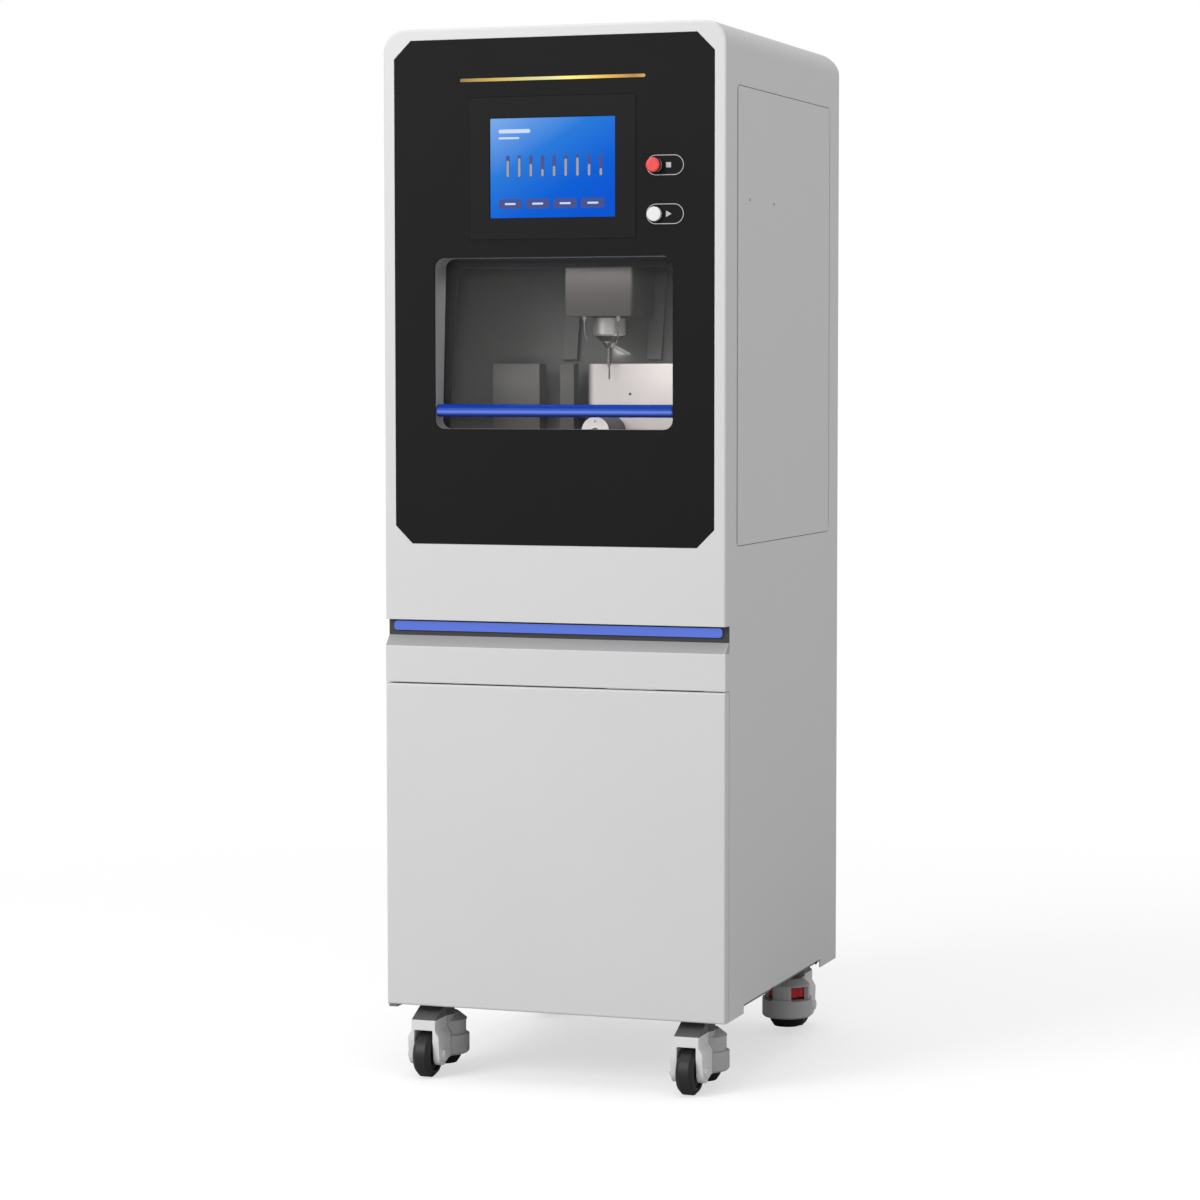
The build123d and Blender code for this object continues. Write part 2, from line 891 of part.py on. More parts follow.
# Guide rails of the sash: two channels along the pane's edges, on legs off the front wall
rail_outer = sash_half_width + slide_gap + rail_wall
rail_foot = Plane(
    origin=sash_front.from_local_coords((0, -sash_overlap_bottom - rail_wall, 0)),
    x_dir=(1, 0, 0),
    z_dir=sash_front.y_dir,
)
with BuildPart() as sash_rails:
    with BuildSketch(rail_foot):
        for side in (-1, 1):
            with Locations((side * (rail_outer - rail_lip / 2), sash_thickness / 2)):
                Rectangle(rail_lip, sash_thickness + 2 * (slide_gap + rail_wall))
            with Locations(
                (side * (rail_outer - rail_wall - rail_lip / 2), sash_thickness / 2)
            ):
                Rectangle(rail_lip, sash_thickness + 2 * slide_gap, mode=Mode.SUBTRACT)
    extrude(amount=rail_length)
    for side in (-1, 1):
        for leg_height in (window_bottom - rail_leg, window_top + 2 * rail_leg):
            leg = sorted((side * (rail_outer - rail_lip), side * rail_outer))
            sash_here = sash_depth + (leg_height - window_bottom) * math.tan(tilt)
            block(
                leg[0],
                leg[1],
                front_wall,
                sash_here - rail_leg_gap,
                leg_height,
                leg_height + rail_leg,
            )
finish(sash_rails.part, "sash_rails")

# Header panel: a folded pan whose top edge leans back into the light groove
with BuildPart() as header_panel:
    with BuildSketch(side_plane(-cabinet_width / 2)):
        with BuildLine():
            Polyline(
                (back(0), up(door_gap_height + door_gap)),
                (back(0), up(ledge_front_height)),
                (back(groove_depth), up(ledge_back_height)),
                (back(groove_depth), up(upper_front_bottom)),
                (back(side_wall_front), up(upper_front_bottom)),
                (back(side_wall_front), up(door_gap_height + door_gap)),
                close=True,
            )
        make_face()
    extrude(amount=cabinet_width)
    front_edges = header_panel.faces().sort_by(Axis.Y)[0].edges()
    fillet(front_edges, header_edge_radius)
    with BuildSketch(side_plane(sheet - cabinet_width / 2)):
        with BuildLine():
            Polyline(
                (back(sheet), up(door_gap_height + door_gap + sheet)),
                (back(sheet), up(ledge_front_height - sheet / 2)),
                (back(groove_depth + sheet), up(ledge_back_height - sheet / 2)),
                (back(groove_depth + sheet), up(upper_front_bottom - sheet)),
                (back(side_wall_front + sheet), up(upper_front_bottom - sheet)),
                (back(side_wall_front + sheet), up(door_gap_height + door_gap + sheet)),
                close=True,
            )
        make_face()
    extrude(amount=cabinet_width - 2 * sheet, mode=Mode.SUBTRACT)
    # Upper pivot pin of the door, on a block in the panel's left end
    block(
        -cabinet_width / 2 + sheet,
        -cabinet_width / 2 + sheet + pivot_block,
        sheet,
        door_thickness,
        door_gap_height + door_gap + sheet,
        door_gap_height + door_gap + sheet + pivot_block_height,
    )
    with BuildSketch(level_plane(door_gap_height + door_gap)):
        with Locations(
            (door_pivot_inset - cabinet_width / 2, back(door_thickness - door_pivot_inset))
        ):
            Circle(pivot_pin_radius)
    extrude(amount=-pivot_pin_length)
finish(header_panel.part, "header_panel")

# Light strip in the groove
with BuildPart() as light_strip:
    with BuildSketch(front_plane(groove_depth)):
        with Locations((0, up(strip_middle))):
            RectangleRounded(2 * strip_half_length, strip_height, strip_height / 3)
    extrude(amount=strip_thickness)
finish(light_strip.part, "light_strip")

# Lower door: a folded pan with a stiffening channel and pivot blocks at its left edge
with BuildPart() as lower_door:
    block(-cabinet_width / 2, cabinet_width / 2, 0, door_thickness, 0, door_gap_height)
    door_front = lower_door.faces().sort_by(Axis.Y)[0].edges()
    fillet(door_front, door_edge_radius)
    block(
        sheet - cabinet_width / 2,
        cabinet_width / 2 - sheet,
        sheet,
        door_thickness + sheet,
        sheet,
        door_gap_height - sheet,
        mode=Mode.SUBTRACT,
    )
    block(
        -door_stiffener / 2,
        door_stiffener / 2,
        sheet,
        door_thickness - sheet,
        sheet,
        door_gap_height - sheet,
    )
    for low in (sheet, door_gap_height - sheet - pivot_block):
        block(
            sheet - cabinet_width / 2,
            sheet - cabinet_width / 2 + pivot_block,
            sheet,
            door_thickness,
            low,
            low + pivot_block,
        )
    with BuildSketch(level_plane(0)):
        with Locations(
            (door_pivot_inset - cabinet_width / 2, back(door_thickness - door_pivot_inset))
        ):
            Circle(pivot_pin_radius + running_clearance)
    extrude(amount=door_gap_height, mode=Mode.SUBTRACT)
finish(lower_door.part, "lower_door")

# Base frame: the floor pan that carries the castors and the door's lower pivot
with BuildPart() as base_frame:
    block(
        -inner_half_width,
        inner_half_width,
        base_front,
        inner_rear,
        base_bottom,
        base_bottom + base_flange,
    )
    block(
        sheet - inner_half_width,
        inner_half_width - sheet,
        base_front + sheet,
        inner_rear - sheet,
        base_bottom + base_thickness,
        base_bottom + base_flange + sheet,
        mode=Mode.SUBTRACT,
    )
    # Tongue under the door's lower left corner with the pivot pin
    block(
        seat_gap - inner_half_width,
        pivot_block - inner_half_width,
        sheet,
        base_front,
        -tongue_thickness - seat_gap,
        -seat_gap,
    )
    block(
        seat_gap - inner_half_width,
        pivot_block - inner_half_width,
        base_front,
        base_front + sheet,
        -tongue_thickness - seat_gap,
        base_bottom,
    )
    with BuildSketch(level_plane(-seat_gap)):
        with Locations(
            (door_pivot_inset - cabinet_width / 2, back(door_thickness - door_pivot_inset))
        ):
            Circle(pivot_pin_radius)
    extrude(amount=pivot_pin_length)
    # Bolt holes over the castor plates
    with BuildSketch(level_plane(base_bottom)):
        with GridLocations(2 * caster_x, cabinet_depth - 2 * caster_front_depth, 2, 2):
            with GridLocations(caster_hole_spacing, caster_hole_spacing, 2, 2):
                Circle(caster_hole_radius)
    extrude(amount=base_thickness, mode=Mode.SUBTRACT)
finish(base_frame.part, "base_frame")

# Middle deck between the lower compartment and the milling machine
with BuildPart() as mid_deck:
    block(
        -inner_half_width,
        inner_half_width,
        base_front,
        inner_rear,
        deck_top - deck_flange,
        deck_top,
    )
    block(
        sheet - inner_half_width,
        inner_half_width - sheet,
        base_front + sheet,
        inner_rear - sheet,
        deck_top - deck_flange - sheet,
        deck_top - deck_thickness,
        mode=Mode.SUBTRACT,
    )
finish(mid_deck.part, "mid_deck")


def chamber_solid(shrink):
    """Body of the milling chamber, shrunk on every side by the sheet's thickness."""
    with BuildPart() as body:
        with BuildSketch(front_plane(0)):
            with Locations((0, up((chamber_floor + chamber_ceiling) / 2))):
                RectangleRounded(
                    2 * (chamber_half_width - shrink),
                    chamber_ceiling - chamber_floor - 2 * shrink,
                    chamber_radius - shrink,
                )
        extrude(amount=-cabinet_depth / 2)
        split(bisect_by=chamber_back.offset(-shrink), keep=Keep.BOTTOM)
    return body.part


# Chamber lining: a folded tub, open at the front behind the sash
chamber_outside = chamber_solid(0)
chamber_inside = chamber_solid(chamber_sheet)
slot_left = spindle_x - head_width / 2 - x_travel - slot_margin
slot_right = spindle_x + head_width / 2 + x_travel + slot_margin
with BuildPart() as chamber_liner:
    add(chamber_outside)
    add(chamber_inside, mode=Mode.SUBTRACT)
    split(
        bisect_by=sash_front.offset(-sash_thickness - liner_front_gap), keep=Keep.BOTTOM
    )
    # Two raised guides on the rear wall
    for guide_x in (guide_left_x, guide_right_x):
        with BuildSketch(chamber_back.offset(-chamber_sheet)):
            with Locations((guide_x, window_bottom - (guide_bottom + guide_top) / 2)):
                Rectangle(guide_width, guide_top - guide_bottom)
        extrude(amount=-guide_depth)
    # Slot in the ceiling for the spindle head
    block(
        slot_left,
        slot_right,
        head_front - slot_margin,
        head_rear + slot_margin,
        chamber_ceiling - 2 * chamber_sheet,
        chamber_ceiling + chamber_sheet,
        mode=Mode.SUBTRACT,
    )
    # Opening in the rear wall for the work unit
    block(
        work_left - flush_gap,
        work_right + flush_gap,
        magazine_front,
        work_rear,
        work_bottom - y_rail_height,
        work_top + flush_gap,
        mode=Mode.SUBTRACT,
    )
    # Dust outlet in the floor
    block(
        dust_x - dust_inlet_width / 2 + dust_wall,
        dust_x + dust_inlet_width / 2 - dust_wall,
        dust_inlet_middle - dust_inlet_depth / 2 + dust_wall,
        dust_inlet_middle + dust_inlet_depth / 2 - dust_wall,
        chamber_floor - chamber_sheet,
        chamber_floor + 2 * chamber_sheet,
        mode=Mode.SUBTRACT,
    )
finish(chamber_liner.part, "chamber_liner")

# Dark frame behind the sash, round the mouth of the chamber; its opening widens downwards
mouth_plane = sash_front.offset(-sash_thickness - liner_front_gap)
mouth_low = chamber_floor - window_bottom
mouth_high = chamber_ceiling - window_bottom
mouth_fit = chamber_solid(chamber_sheet + seat_gap)
with BuildPart() as chamber_mouth_frame:
    with BuildSketch(mouth_plane):
        with Locations((0, (mouth_low + mouth_high) / 2)):
            Rectangle(2 * chamber_half_width, 2 * (mouth_high - mouth_low))
        with BuildLine():
            FilletPolyline(
                (-mouth_bottom_half_width, 2 * mouth_low),
                (-mouth_top_half_width, mouth_high - mouth_head),
                (mouth_top_half_width, mouth_high - mouth_head),
                (mouth_bottom_half_width, 2 * mouth_low),
                radius=mouth_radius,
            )
            Line(
                (mouth_bottom_half_width, 2 * mouth_low),
                (-mouth_bottom_half_width, 2 * mouth_low),
            )
        make_face(mode=Mode.SUBTRACT)
    extrude(amount=-mouth_thickness)
    add(mouth_fit, mode=Mode.INTERSECT)
finish(chamber_mouth_frame.part, "chamber_mouth_frame")


def dust_body(shrink):
    """Funnel under the chamber, a quarter bend and a straight run to the rear."""
    bend_top = dust_outlet_height + dust_bend_radius
    tube = dust_tube_radius - shrink
    with BuildPart() as body:
        with BuildSketch(level_plane(chamber_floor)):
            with Locations((dust_x, back(dust_inlet_middle))):
                Rectangle(dust_inlet_width - 2 * shrink, dust_inlet_depth - 2 * shrink)
        with BuildSketch(level_plane(bend_top)):
            with Locations((dust_x, back(dust_inlet_middle))):
                Circle(tube)
        loft()
        with BuildSketch(level_plane(bend_top)):
            with Locations((dust_x, back(dust_inlet_middle))):
                Circle(tube)
        revolve(
            axis=Axis((0, back(dust_inlet_middle) + dust_bend_radius, up(bend_top)), (1, 0, 0)),
            revolution_arc=90,
        )
        with BuildSketch(front_plane(dust_inlet_middle + dust_bend_radius)):
            with Locations((dust_x, up(dust_outlet_height))):
                Circle(tube)
        run = cabinet_depth - dust_recess - dust_inlet_middle - dust_bend_radius
        extrude(amount=-run)
    return body.part


# Dust duct under the chamber
duct_outside = dust_body(0)
duct_inside = dust_body(dust_wall)
with BuildPart() as dust_duct:
    add(duct_outside)
    add(duct_inside, mode=Mode.SUBTRACT)
finish(dust_duct.part, "dust_duct")

# Dust port: a hose spigot on a round flange, let into the upper rear panel
with BuildPart() as dust_port:
    with BuildSketch(front_plane(cabinet_depth - dust_recess)):
        with Locations((dust_x, up(dust_outlet_height))):
            Circle(dust_tube_radius)
            Circle(dust_tube_radius - dust_wall, mode=Mode.SUBTRACT)
    extrude(amount=-(dust_recess + dust_proud))
    with BuildSketch(front_plane(cabinet_depth - dust_recess)):
        with Locations((dust_x, up(dust_outlet_height))):
            Circle(dust_flange_radius)
            Circle(dust_tube_radius - dust_wall, mode=Mode.SUBTRACT)
    extrude(amount=-dust_wall)
    with BuildSketch(front_plane(cabinet_depth - dust_recess)):
        with Locations((dust_x, up(dust_outlet_height))):
            Circle(dust_flange_radius)
            Circle(dust_flange_radius - dust_wall, mode=Mode.SUBTRACT)
    extrude(amount=-(dust_recess - sheet))
    with BuildSketch(front_plane(cabinet_depth - 3 * sheet)):
        with Locations((dust_x, up(dust_outlet_height))):
            Circle(dust_flange_radius + dust_lip)
            Circle(dust_flange_radius - dust_wall, mode=Mode.SUBTRACT)
    extrude(amount=-sheet)
finish(dust_port.part, "dust_port")

# Machine frame: four posts, the cross beam of the X axis and the shelf of the work unit
shelf_top = work_bottom - y_rail_height - seat_gap
with BuildPart() as machine_frame:
    for side in (-1, 1):
        post_x = sorted((side * chamber_half_width, side * (chamber_half_width + column_width)))
        block(*post_x, post_front, post_rear, deck_top, chamber_ceiling)
        block(*post_x, beam_front, beam_rear, deck_top, beam_top)
        block(
            *post_x,
            post_rear,
            beam_front,
            deck_top + brace_over_deck,
            deck_top + brace_over_deck + brace_height,
        )
    block(-chamber_half_width, chamber_half_width, beam_front, beam_rear, beam_bottom, beam_top)
    block(
        -chamber_half_width,
        chamber_half_width,
        y_rail_front - shelf_overrun,
        beam_rear,
        shelf_top - shelf_thickness,
        shelf_top,
    )
    block(
        dust_x + dust_inlet_width / 2,
        chamber_half_width,
        post_front,
        post_rear,
        chamber_floor - sill_height,
        chamber_floor,
    )
    # Bearing blocks of the X screw
    for bearing_x in (x_screw_left, x_screw_right):
        block(
            bearing_x - bearing_length / 2,
            bearing_x + bearing_length / 2,
            beam_front - bearing_depth,
            beam_front,
            screw_height - bearing_height / 2,
            screw_height + bearing_height / 2,
        )
    with BuildSketch(side_plane(x_screw_left - bearing_length / 2)):
        with Locations((back(screw_depth), up(screw_height))):
            Circle(screw_radius + running_clearance)
    extrude(amount=x_screw_right - x_screw_left + bearing_length, mode=Mode.SUBTRACT)
finish(machine_frame.part, "machine_frame")

# Linear rails: two for X on the beam, two for Y on the shelf
with BuildPart() as axis_rails:
    for height in (lower_rail, upper_rail):
        block(
            -rail_half_length,
            rail_half_length,
            beam_front - rail_depth,
            beam_front,
            height - rail_height / 2,
            height + rail_height / 2,
        )
    for rail_x in (work_left + y_rail_inset, work_right - y_rail_inset):
        block(
            rail_x - y_rail_width / 2,
            rail_x + y_rail_width / 2,
            y_rail_front,
            beam_rear,
            shelf_top,
            shelf_top + y_rail_height,
        )
finish(axis_rails.part, "axis_rails")

# X carriage: a plate on two grooved shoes, with a nut for the screw and two upright rails
shoe_front = beam_front - rail_depth - shoe_margin
plate_front = shoe_front - carriage_thickness
with BuildPart() as x_carriage:
    block(
        spindle_x - carriage_half_width,
        spindle_x + carriage_half_width,
        plate_front,
        shoe_front,
        carriage_bottom,
        carriage_top,
    )
    for height in (lower_rail, upper_rail):
        block(
            spindle_x - carriage_half_width,
            spindle_x + carriage_half_width,
            shoe_front,
            beam_front - shoe_gap,
            height - rail_height / 2 - shoe_margin,
            height + rail_height / 2 + shoe_margin,
        )
        block(
            spindle_x - carriage_half_width,
            spindle_x + carriage_half_width,
            beam_front - rail_depth - seat_gap,
            beam_front,
            height - rail_height / 2 - seat_gap,
            height + rail_height / 2 + seat_gap,
            mode=Mode.SUBTRACT,
        )
    block(
        spindle_x - nut_length / 2,
        spindle_x + nut_length / 2,
        shoe_front,
        beam_front - shoe_gap,
        screw_height - nut_height / 2,
        screw_height + nut_height / 2,
    )
    with BuildSketch(side_plane(spindle_x - nut_length / 2)):
        with Locations((back(screw_depth), up(screw_height))):
            Circle(screw_radius + running_clearance)
    extrude(amount=nut_length, mode=Mode.SUBTRACT)
    for side in (-1, 1):
        rail_middle = spindle_x + side * z_rail_offset
        block(
            rail_middle - z_rail_width / 2,
            rail_middle + z_rail_width / 2,
            plate_front - z_rail_depth,
            plate_front,
            carriage_bottom,
            carriage_top,
        )
    # Top plate that holds the height motor and the screw's upper bearing
    block(
        spindle_x - motor_size / 2 - motor_plate_margin,
        spindle_x + motor_size / 2 + motor_plate_margin,
        plate_front - motor_size / 2 - z_screw_offset,
        shoe_front,
        carriage_top,
        carriage_top + motor_plate,
    )
    with BuildSketch(level_plane(carriage_top)):
        with Locations((spindle_x, back(plate_front - z_screw_offset))):
            Circle(z_screw_radius + running_clearance)
    extrude(amount=motor_plate, mode=Mode.SUBTRACT)
finish(x_carriage.part, "x_carriage")

# Cover plate that keeps the ceiling slot closed as the carriage moves
cover_left = slot_left - x_travel - slot_margin
cover_right = slot_right + x_travel + slot_margin
cover_bottom = chamber_ceiling + slot_cover_lift
with BuildPart() as slot_cover:
    block(
        cover_left,
        cover_right,
        head_front - 2 * slot_margin,
        head_rear + 2 * slot_margin,
        cover_bottom,
        cover_bottom + slot_cover_thickness,
    )
    block(
        spindle_x - head_width / 2 - slide_gap * 2,
        spindle_x + head_width / 2 + slide_gap * 2,
        head_front - slide_gap * 2,
        head_rear + slide_gap * 2,
        cover_bottom - sheet,
        cover_bottom + 2 * slot_cover_thickness,
        mode=Mode.SUBTRACT,
    )
    for side in (-1, 1):
        arm_x = spindle_x + side * (carriage_half_width - slot_arm_width / 2)
        block(
            arm_x - slot_arm_width / 2,
            arm_x + slot_arm_width / 2,
            head_rear + slot_margin,
            shoe_front,
            cover_bottom,
            carriage_bottom,
        )
finish(slot_cover.part, "slot_cover")

# Z carriage: a grooved plate with the bracket that carries the spindle
z_plate_rear = plate_front - seat_gap
z_plate_front = plate_front - z_rail_depth - z_plate_thickness
with BuildPart() as z_carriage:
    block(
        spindle_x - z_plate_half_width,
        spindle_x + z_plate_half_width,
        z_plate_front,
        z_plate_rear,
        z_plate_bottom,
        z_plate_top,
    )
    for side in (-1, 1):
        rail_middle = spindle_x + side * z_rail_offset
        block(
            rail_middle - z_rail_width / 2 - seat_gap,
            rail_middle + z_rail_width / 2 + seat_gap,
            plate_front - z_rail_depth - seat_gap,
            plate_front,
            z_plate_bottom,
            z_plate_top,
            mode=Mode.SUBTRACT,
        )
    with BuildSketch(level_plane(z_plate_bottom)):
        with Locations((spindle_x, back(plate_front - z_screw_offset))):
            Circle(z_screw_radius + running_clearance)
    extrude(amount=z_plate_height, mode=Mode.SUBTRACT)
    block(
        spindle_x - z_bracket_half_width,
        spindle_x + z_bracket_half_width,
        head_rear,
        z_plate_front,
        z_plate_bottom,
        head_top,
    )
finish(z_carriage.part, "z_carriage")

# Spindle head cover: a sheet box round the spindle, closed below but for the nose
with BuildPart() as spindle_head:
    with BuildSketch(level_plane(head_bottom)) as head_outline:
        with Locations((spindle_x, back((head_front + head_rear) / 2))):
            Rectangle(head_width, head_rear - head_front)
        fillet(head_outline.vertices(), head_radius)
    extrude(amount=head_top - head_bottom)
    block(
        spindle_x - head_width / 2 + head_sheet,
        spindle_x + head_width / 2 - head_sheet,
        head_front + head_sheet,
        head_rear - head_sheet,
        head_bottom + head_sheet,
        head_top + head_sheet,
        mode=Mode.SUBTRACT,
    )
    with BuildSketch(level_plane(head_bottom)):
        with Locations((spindle_x, back(spindle_depth))):
            Circle(nose_radius + seat_gap)
    extrude(amount=head_sheet, mode=Mode.SUBTRACT)
finish(spindle_head.part, "spindle_head")

spindle_axis = Axis((spindle_x, back(spindle_depth), 0), (0, 0, 1))
spindle_section = Plane(
    origin=(spindle_x, back(spindle_depth), 0),
    x_dir=(1, 0, 0),
    z_dir=(0, -1, 0),
)

# Spindle body: the motor housing and its nose, with a bore for the shaft
with BuildPart() as spindle_body:
    with BuildSketch(spindle_section):
        with BuildLine():
            Polyline(
                (spindle_shaft_radius + running_clearance, up(nose_cone_bottom)),
                (nose_cone_radius, up(nose_cone_bottom)),
                (nose_radius - nose_bevel, up(nose_bottom)),
                (nose_radius, up(nose_bottom + nose_bevel)),
                (nose_radius, up(head_bottom + head_sheet)),
                (spindle_body_radius, up(head_bottom + head_sheet)),
                (spindle_body_radius, up(head_top - spindle_cap_gap)),
                (0, up(head_top - spindle_cap_gap)),
                (0, up(nose_cone_bottom + spindle_shaft_length + seat_gap)),
                (
                    spindle_shaft_radius + running_clearance,
                    up(nose_cone_bottom + spindle_shaft_length + seat_gap),
                ),
                close=True,
            )
        make_face()
    revolve(axis=spindle_axis)
    # Clamp block between the housing and the cover's rear wall
    block(
        spindle_x - clamp_half_width,
        spindle_x + clamp_half_width,
        spindle_depth + spindle_body_radius - clamp_bite,
        head_rear - head_sheet,
        head_top - 2 * spindle_cap_gap - clamp_height,
        head_top - 2 * spindle_cap_gap,
    )
finish(spindle_body.part, "spindle_body")

# Spindle shaft with its collet nut
with BuildPart() as collet_nut:
    with BuildSketch(spindle_section):
        with BuildLine():
            Polyline(
                (tool_shank_radius, up(nose_cone_bottom - collet_length)),
                (collet_tip_radius, up(nose_cone_bottom - collet_length)),
                (collet_radius, up(nose_cone_bottom - collet_collar)),
                (collet_radius, up(nose_cone_bottom - seat_gap)),
                (spindle_shaft_radius, up(nose_cone_bottom - seat_gap)),
                (spindle_shaft_radius, up(nose_cone_bottom + spindle_shaft_length)),
                (0, up(nose_cone_bottom + spindle_shaft_length)),
                (0, up(nose_cone_bottom - collet_length + tool_grip)),
                (tool_shank_radius, up(nose_cone_bottom - collet_length + tool_grip)),
                close=True,
            )
        make_face()
    revolve(axis=spindle_axis)
    with BuildSketch(level_plane(nose_cone_bottom - collet_length)):
        with Locations((spindle_x, back(spindle_depth))):
            with PolarLocations(collet_radius + collet_flat_offset, collet_flats):
                Circle(collet_flat_radius)
    extrude(amount=collet_length - collet_collar, mode=Mode.SUBTRACT)
finish(collet_nut.part, "collet_nut")

# Milling tool held in the collet
with BuildPart() as milling_tool:
    with BuildSketch(spindle_section):
        with BuildLine():
            Polyline(
                (0, up(tool_tip)),
                (tool_tip_radius, up(tool_tip)),
                (tool_neck_radius, up(tool_tip + tool_neck_radius)),
                (tool_neck_radius, up(tool_neck_top)),
                (tool_shank_radius, up(tool_shank_bottom)),
                (tool_shank_radius, up(nose_cone_bottom - collet_length + tool_grip)),
                (0, up(nose_cone_bottom - collet_length + tool_grip)),
                close=True,
            )
        make_face()
    revolve(axis=spindle_axis)
finish(milling_tool.part, "milling_tool")

# Ball screws of the X and Z axes
with BuildPart() as x_screw:
    with BuildSketch(side_plane(x_screw_left - bearing_length / 2 + seat_gap)):
        with Locations((back(screw_depth), up(screw_height))):
            Circle(screw_radius)
    extrude(amount=x_screw_right - x_screw_left + bearing_length - seat_gap)
finish(x_screw.part, "x_screw")

with BuildPart() as z_screw:
    with BuildSketch(level_plane(z_screw_bottom)):
        with Locations((spindle_x, back(plate_front - z_screw_offset))):
            Circle(z_screw_radius)
    extrude(amount=z_screw_top - z_screw_bottom)
finish(z_screw.part, "z_screw")


# Motors: one at the left end of the X screw, one over the Z screw
x_motor_face = x_screw_left - bearing_length / 2
with BuildPart() as x_motor:
    with BuildSketch(side_plane(x_motor_face)) as x_motor_outline:
        with Locations((back(beam_front - motor_size / 2), up(screw_height))):
            Rectangle(motor_size, motor_size)
        chamfer(x_motor_outline.vertices(), motor_size / 10)
    extrude(amount=-motor_length)
finish(x_motor.part, "x_motor")

with BuildPart() as z_motor:
    with BuildSketch(level_plane(carriage_top + motor_plate)) as z_motor_outline:
        with Locations((spindle_x, back(plate_front - z_screw_offset))):
            Rectangle(motor_size, motor_size)
        chamfer(z_motor_outline.vertices(), motor_size / 10)
    extrude(amount=motor_length)
finish(z_motor.part, "z_motor")

# Work unit: the housing of the rotary drive, on shoes over the Y rails
with BuildPart() as rotary_housing:
    with BuildSketch(level_plane(work_bottom)) as work_outline:
        with Locations(((work_left + work_right) / 2, back((work_front + work_rear) / 2))):
            Rectangle(work_right - work_left, work_rear - work_front)
        fillet(work_outline.vertices(), work_radius)
    extrude(amount=work_top - work_bottom)
    fillet(rotary_housing.faces().sort_by(Axis.Z)[-1].edges(), work_top_radius)
    with BuildSketch(front_plane(work_front)):
        with Locations((spindle_x, up(work_axis_height))):
            Circle(chuck_shaft_radius + running_clearance)
    extrude(amount=-(chuck_shaft_length + seat_gap), mode=Mode.SUBTRACT)
    block(
        work_left + work_wall,
        work_right - work_wall,
        work_front + chuck_shaft_length + work_wall,
        work_rear - work_wall,
        work_bottom - work_wall,
        work_top - work_wall,
        mode=Mode.SUBTRACT,
    )
finish(rotary_housing.part, "rotary_housing")

# Rotary chuck: a round hub on its shaft, with a blind bore and three clamp screws
with BuildPart() as rotary_chuck:
    with BuildSketch(front_plane(chuck_front)):
        with Locations((spindle_x, up(work_axis_height))):
            Circle(chuck_radius)
    extrude(amount=chuck_front - work_front + seat_gap)
    chamfer(rotary_chuck.faces().sort_by(Axis.Y)[0].edges(), chuck_bevel)
    with BuildSketch(front_plane(work_front - seat_gap)):
        with Locations((spindle_x, up(work_axis_height))):
            Circle(chuck_shaft_radius)
    extrude(amount=-(chuck_shaft_length + seat_gap))
    with BuildSketch(front_plane(chuck_front)):
        with Locations((spindle_x, up(work_axis_height))):
            Circle(chuck_bore_radius)
    extrude(amount=-chuck_bore_depth, mode=Mode.SUBTRACT)
    with BuildSketch(front_plane(chuck_front)):
        with Locations((spindle_x, up(work_axis_height))):
            with PolarLocations(chuck_screw_circle / 2, 3, 90):
                Circle(chuck_screw_radius)
    extrude(amount=-chuck_screw_depth, mode=Mode.SUBTRACT)
finish(rotary_chuck.part, "rotary_chuck")

# Tool magazine with a row of tool bores, and the slim sensor post beside it
with BuildPart() as tool_magazine:
    block(
        magazine_left,
        magazine_right,
        magazine_front,
        magazine_rear,
        chamber_floor + chamber_sheet,
        magazine_top,
    )
    with BuildSketch(level_plane(magazine_top)):
        with Locations(
            ((magazine_left + magazine_right) / 2, back(magazine_front + magazine_bore_inset))
        ):
            with GridLocations(magazine_bore_pitch, 1, magazine_bores, 1):
                Circle(magazine_bore_radius)
    extrude(amount=-magazine_bore_depth, mode=Mode.SUBTRACT)
    block(
        post_left,
        post_right,
        magazine_front + post_setback,
        magazine_rear,
        chamber_floor + chamber_sheet,
        magazine_top,
    )
finish(tool_magazine.part, "tool_magazine")

# Control box in the lower compartment
with BuildPart() as control_box:
    block(
        -control_half_width,
        control_half_width,
        control_front,
        control_rear,
        base_bottom + base_thickness,
        base_bottom + base_thickness + control_height,
    )
    fillet(control_box.edges().filter_by(Axis.Z), control_corner)
    block(
        sheet - control_half_width,
        control_half_width - sheet,
        control_front + sheet,
        control_rear + sheet,
        base_bottom + base_thickness + sheet,
        base_bottom + base_thickness + control_height - sheet,
        mode=Mode.SUBTRACT,
    )
finish(control_box.part, "control_box")

# Castor positions: swivel axes at the four corners, front wheels ahead and rear wheels behind
caster_y = cabinet_depth / 2 - caster_front_depth
caster_places = {
    "front_left": (-caster_x, -caster_y, 1),
    "front_right": (caster_x, -caster_y, 1),
    "rear_left": (-caster_x, caster_y, -1),
    "rear_right": (caster_x, caster_y, -1),
}

# Top plates of the castors, each with its race and swivel pin
with BuildPart() as caster_plates:
    with BuildSketch(Plane.XY.offset(plate_top)):
        with Locations(*[(x, y) for x, y, facing in caster_places.values()]):
            RectangleRounded(caster_plate_size, caster_plate_size, caster_plate_corner)
            with GridLocations(caster_hole_spacing, caster_hole_spacing, 2, 2):
                Circle(caster_hole_radius, mode=Mode.SUBTRACT)
    extrude(amount=-caster_plate_thickness)
    with BuildSketch(Plane.XY.offset(plate_top - caster_plate_thickness)):
        with Locations(*[(x, y) for x, y, facing in caster_places.values()]):
            Circle(race_radius)
    extrude(amount=race_bottom - plate_top + caster_plate_thickness)
    with BuildSketch(Plane.XY.offset(race_bottom)):
        with Locations(*[(x, y) for x, y, facing in caster_places.values()]):
            Circle(kingpin_radius)
    extrude(amount=kingpin_bottom - race_bottom)
finish(caster_plates.part, "caster_plates")


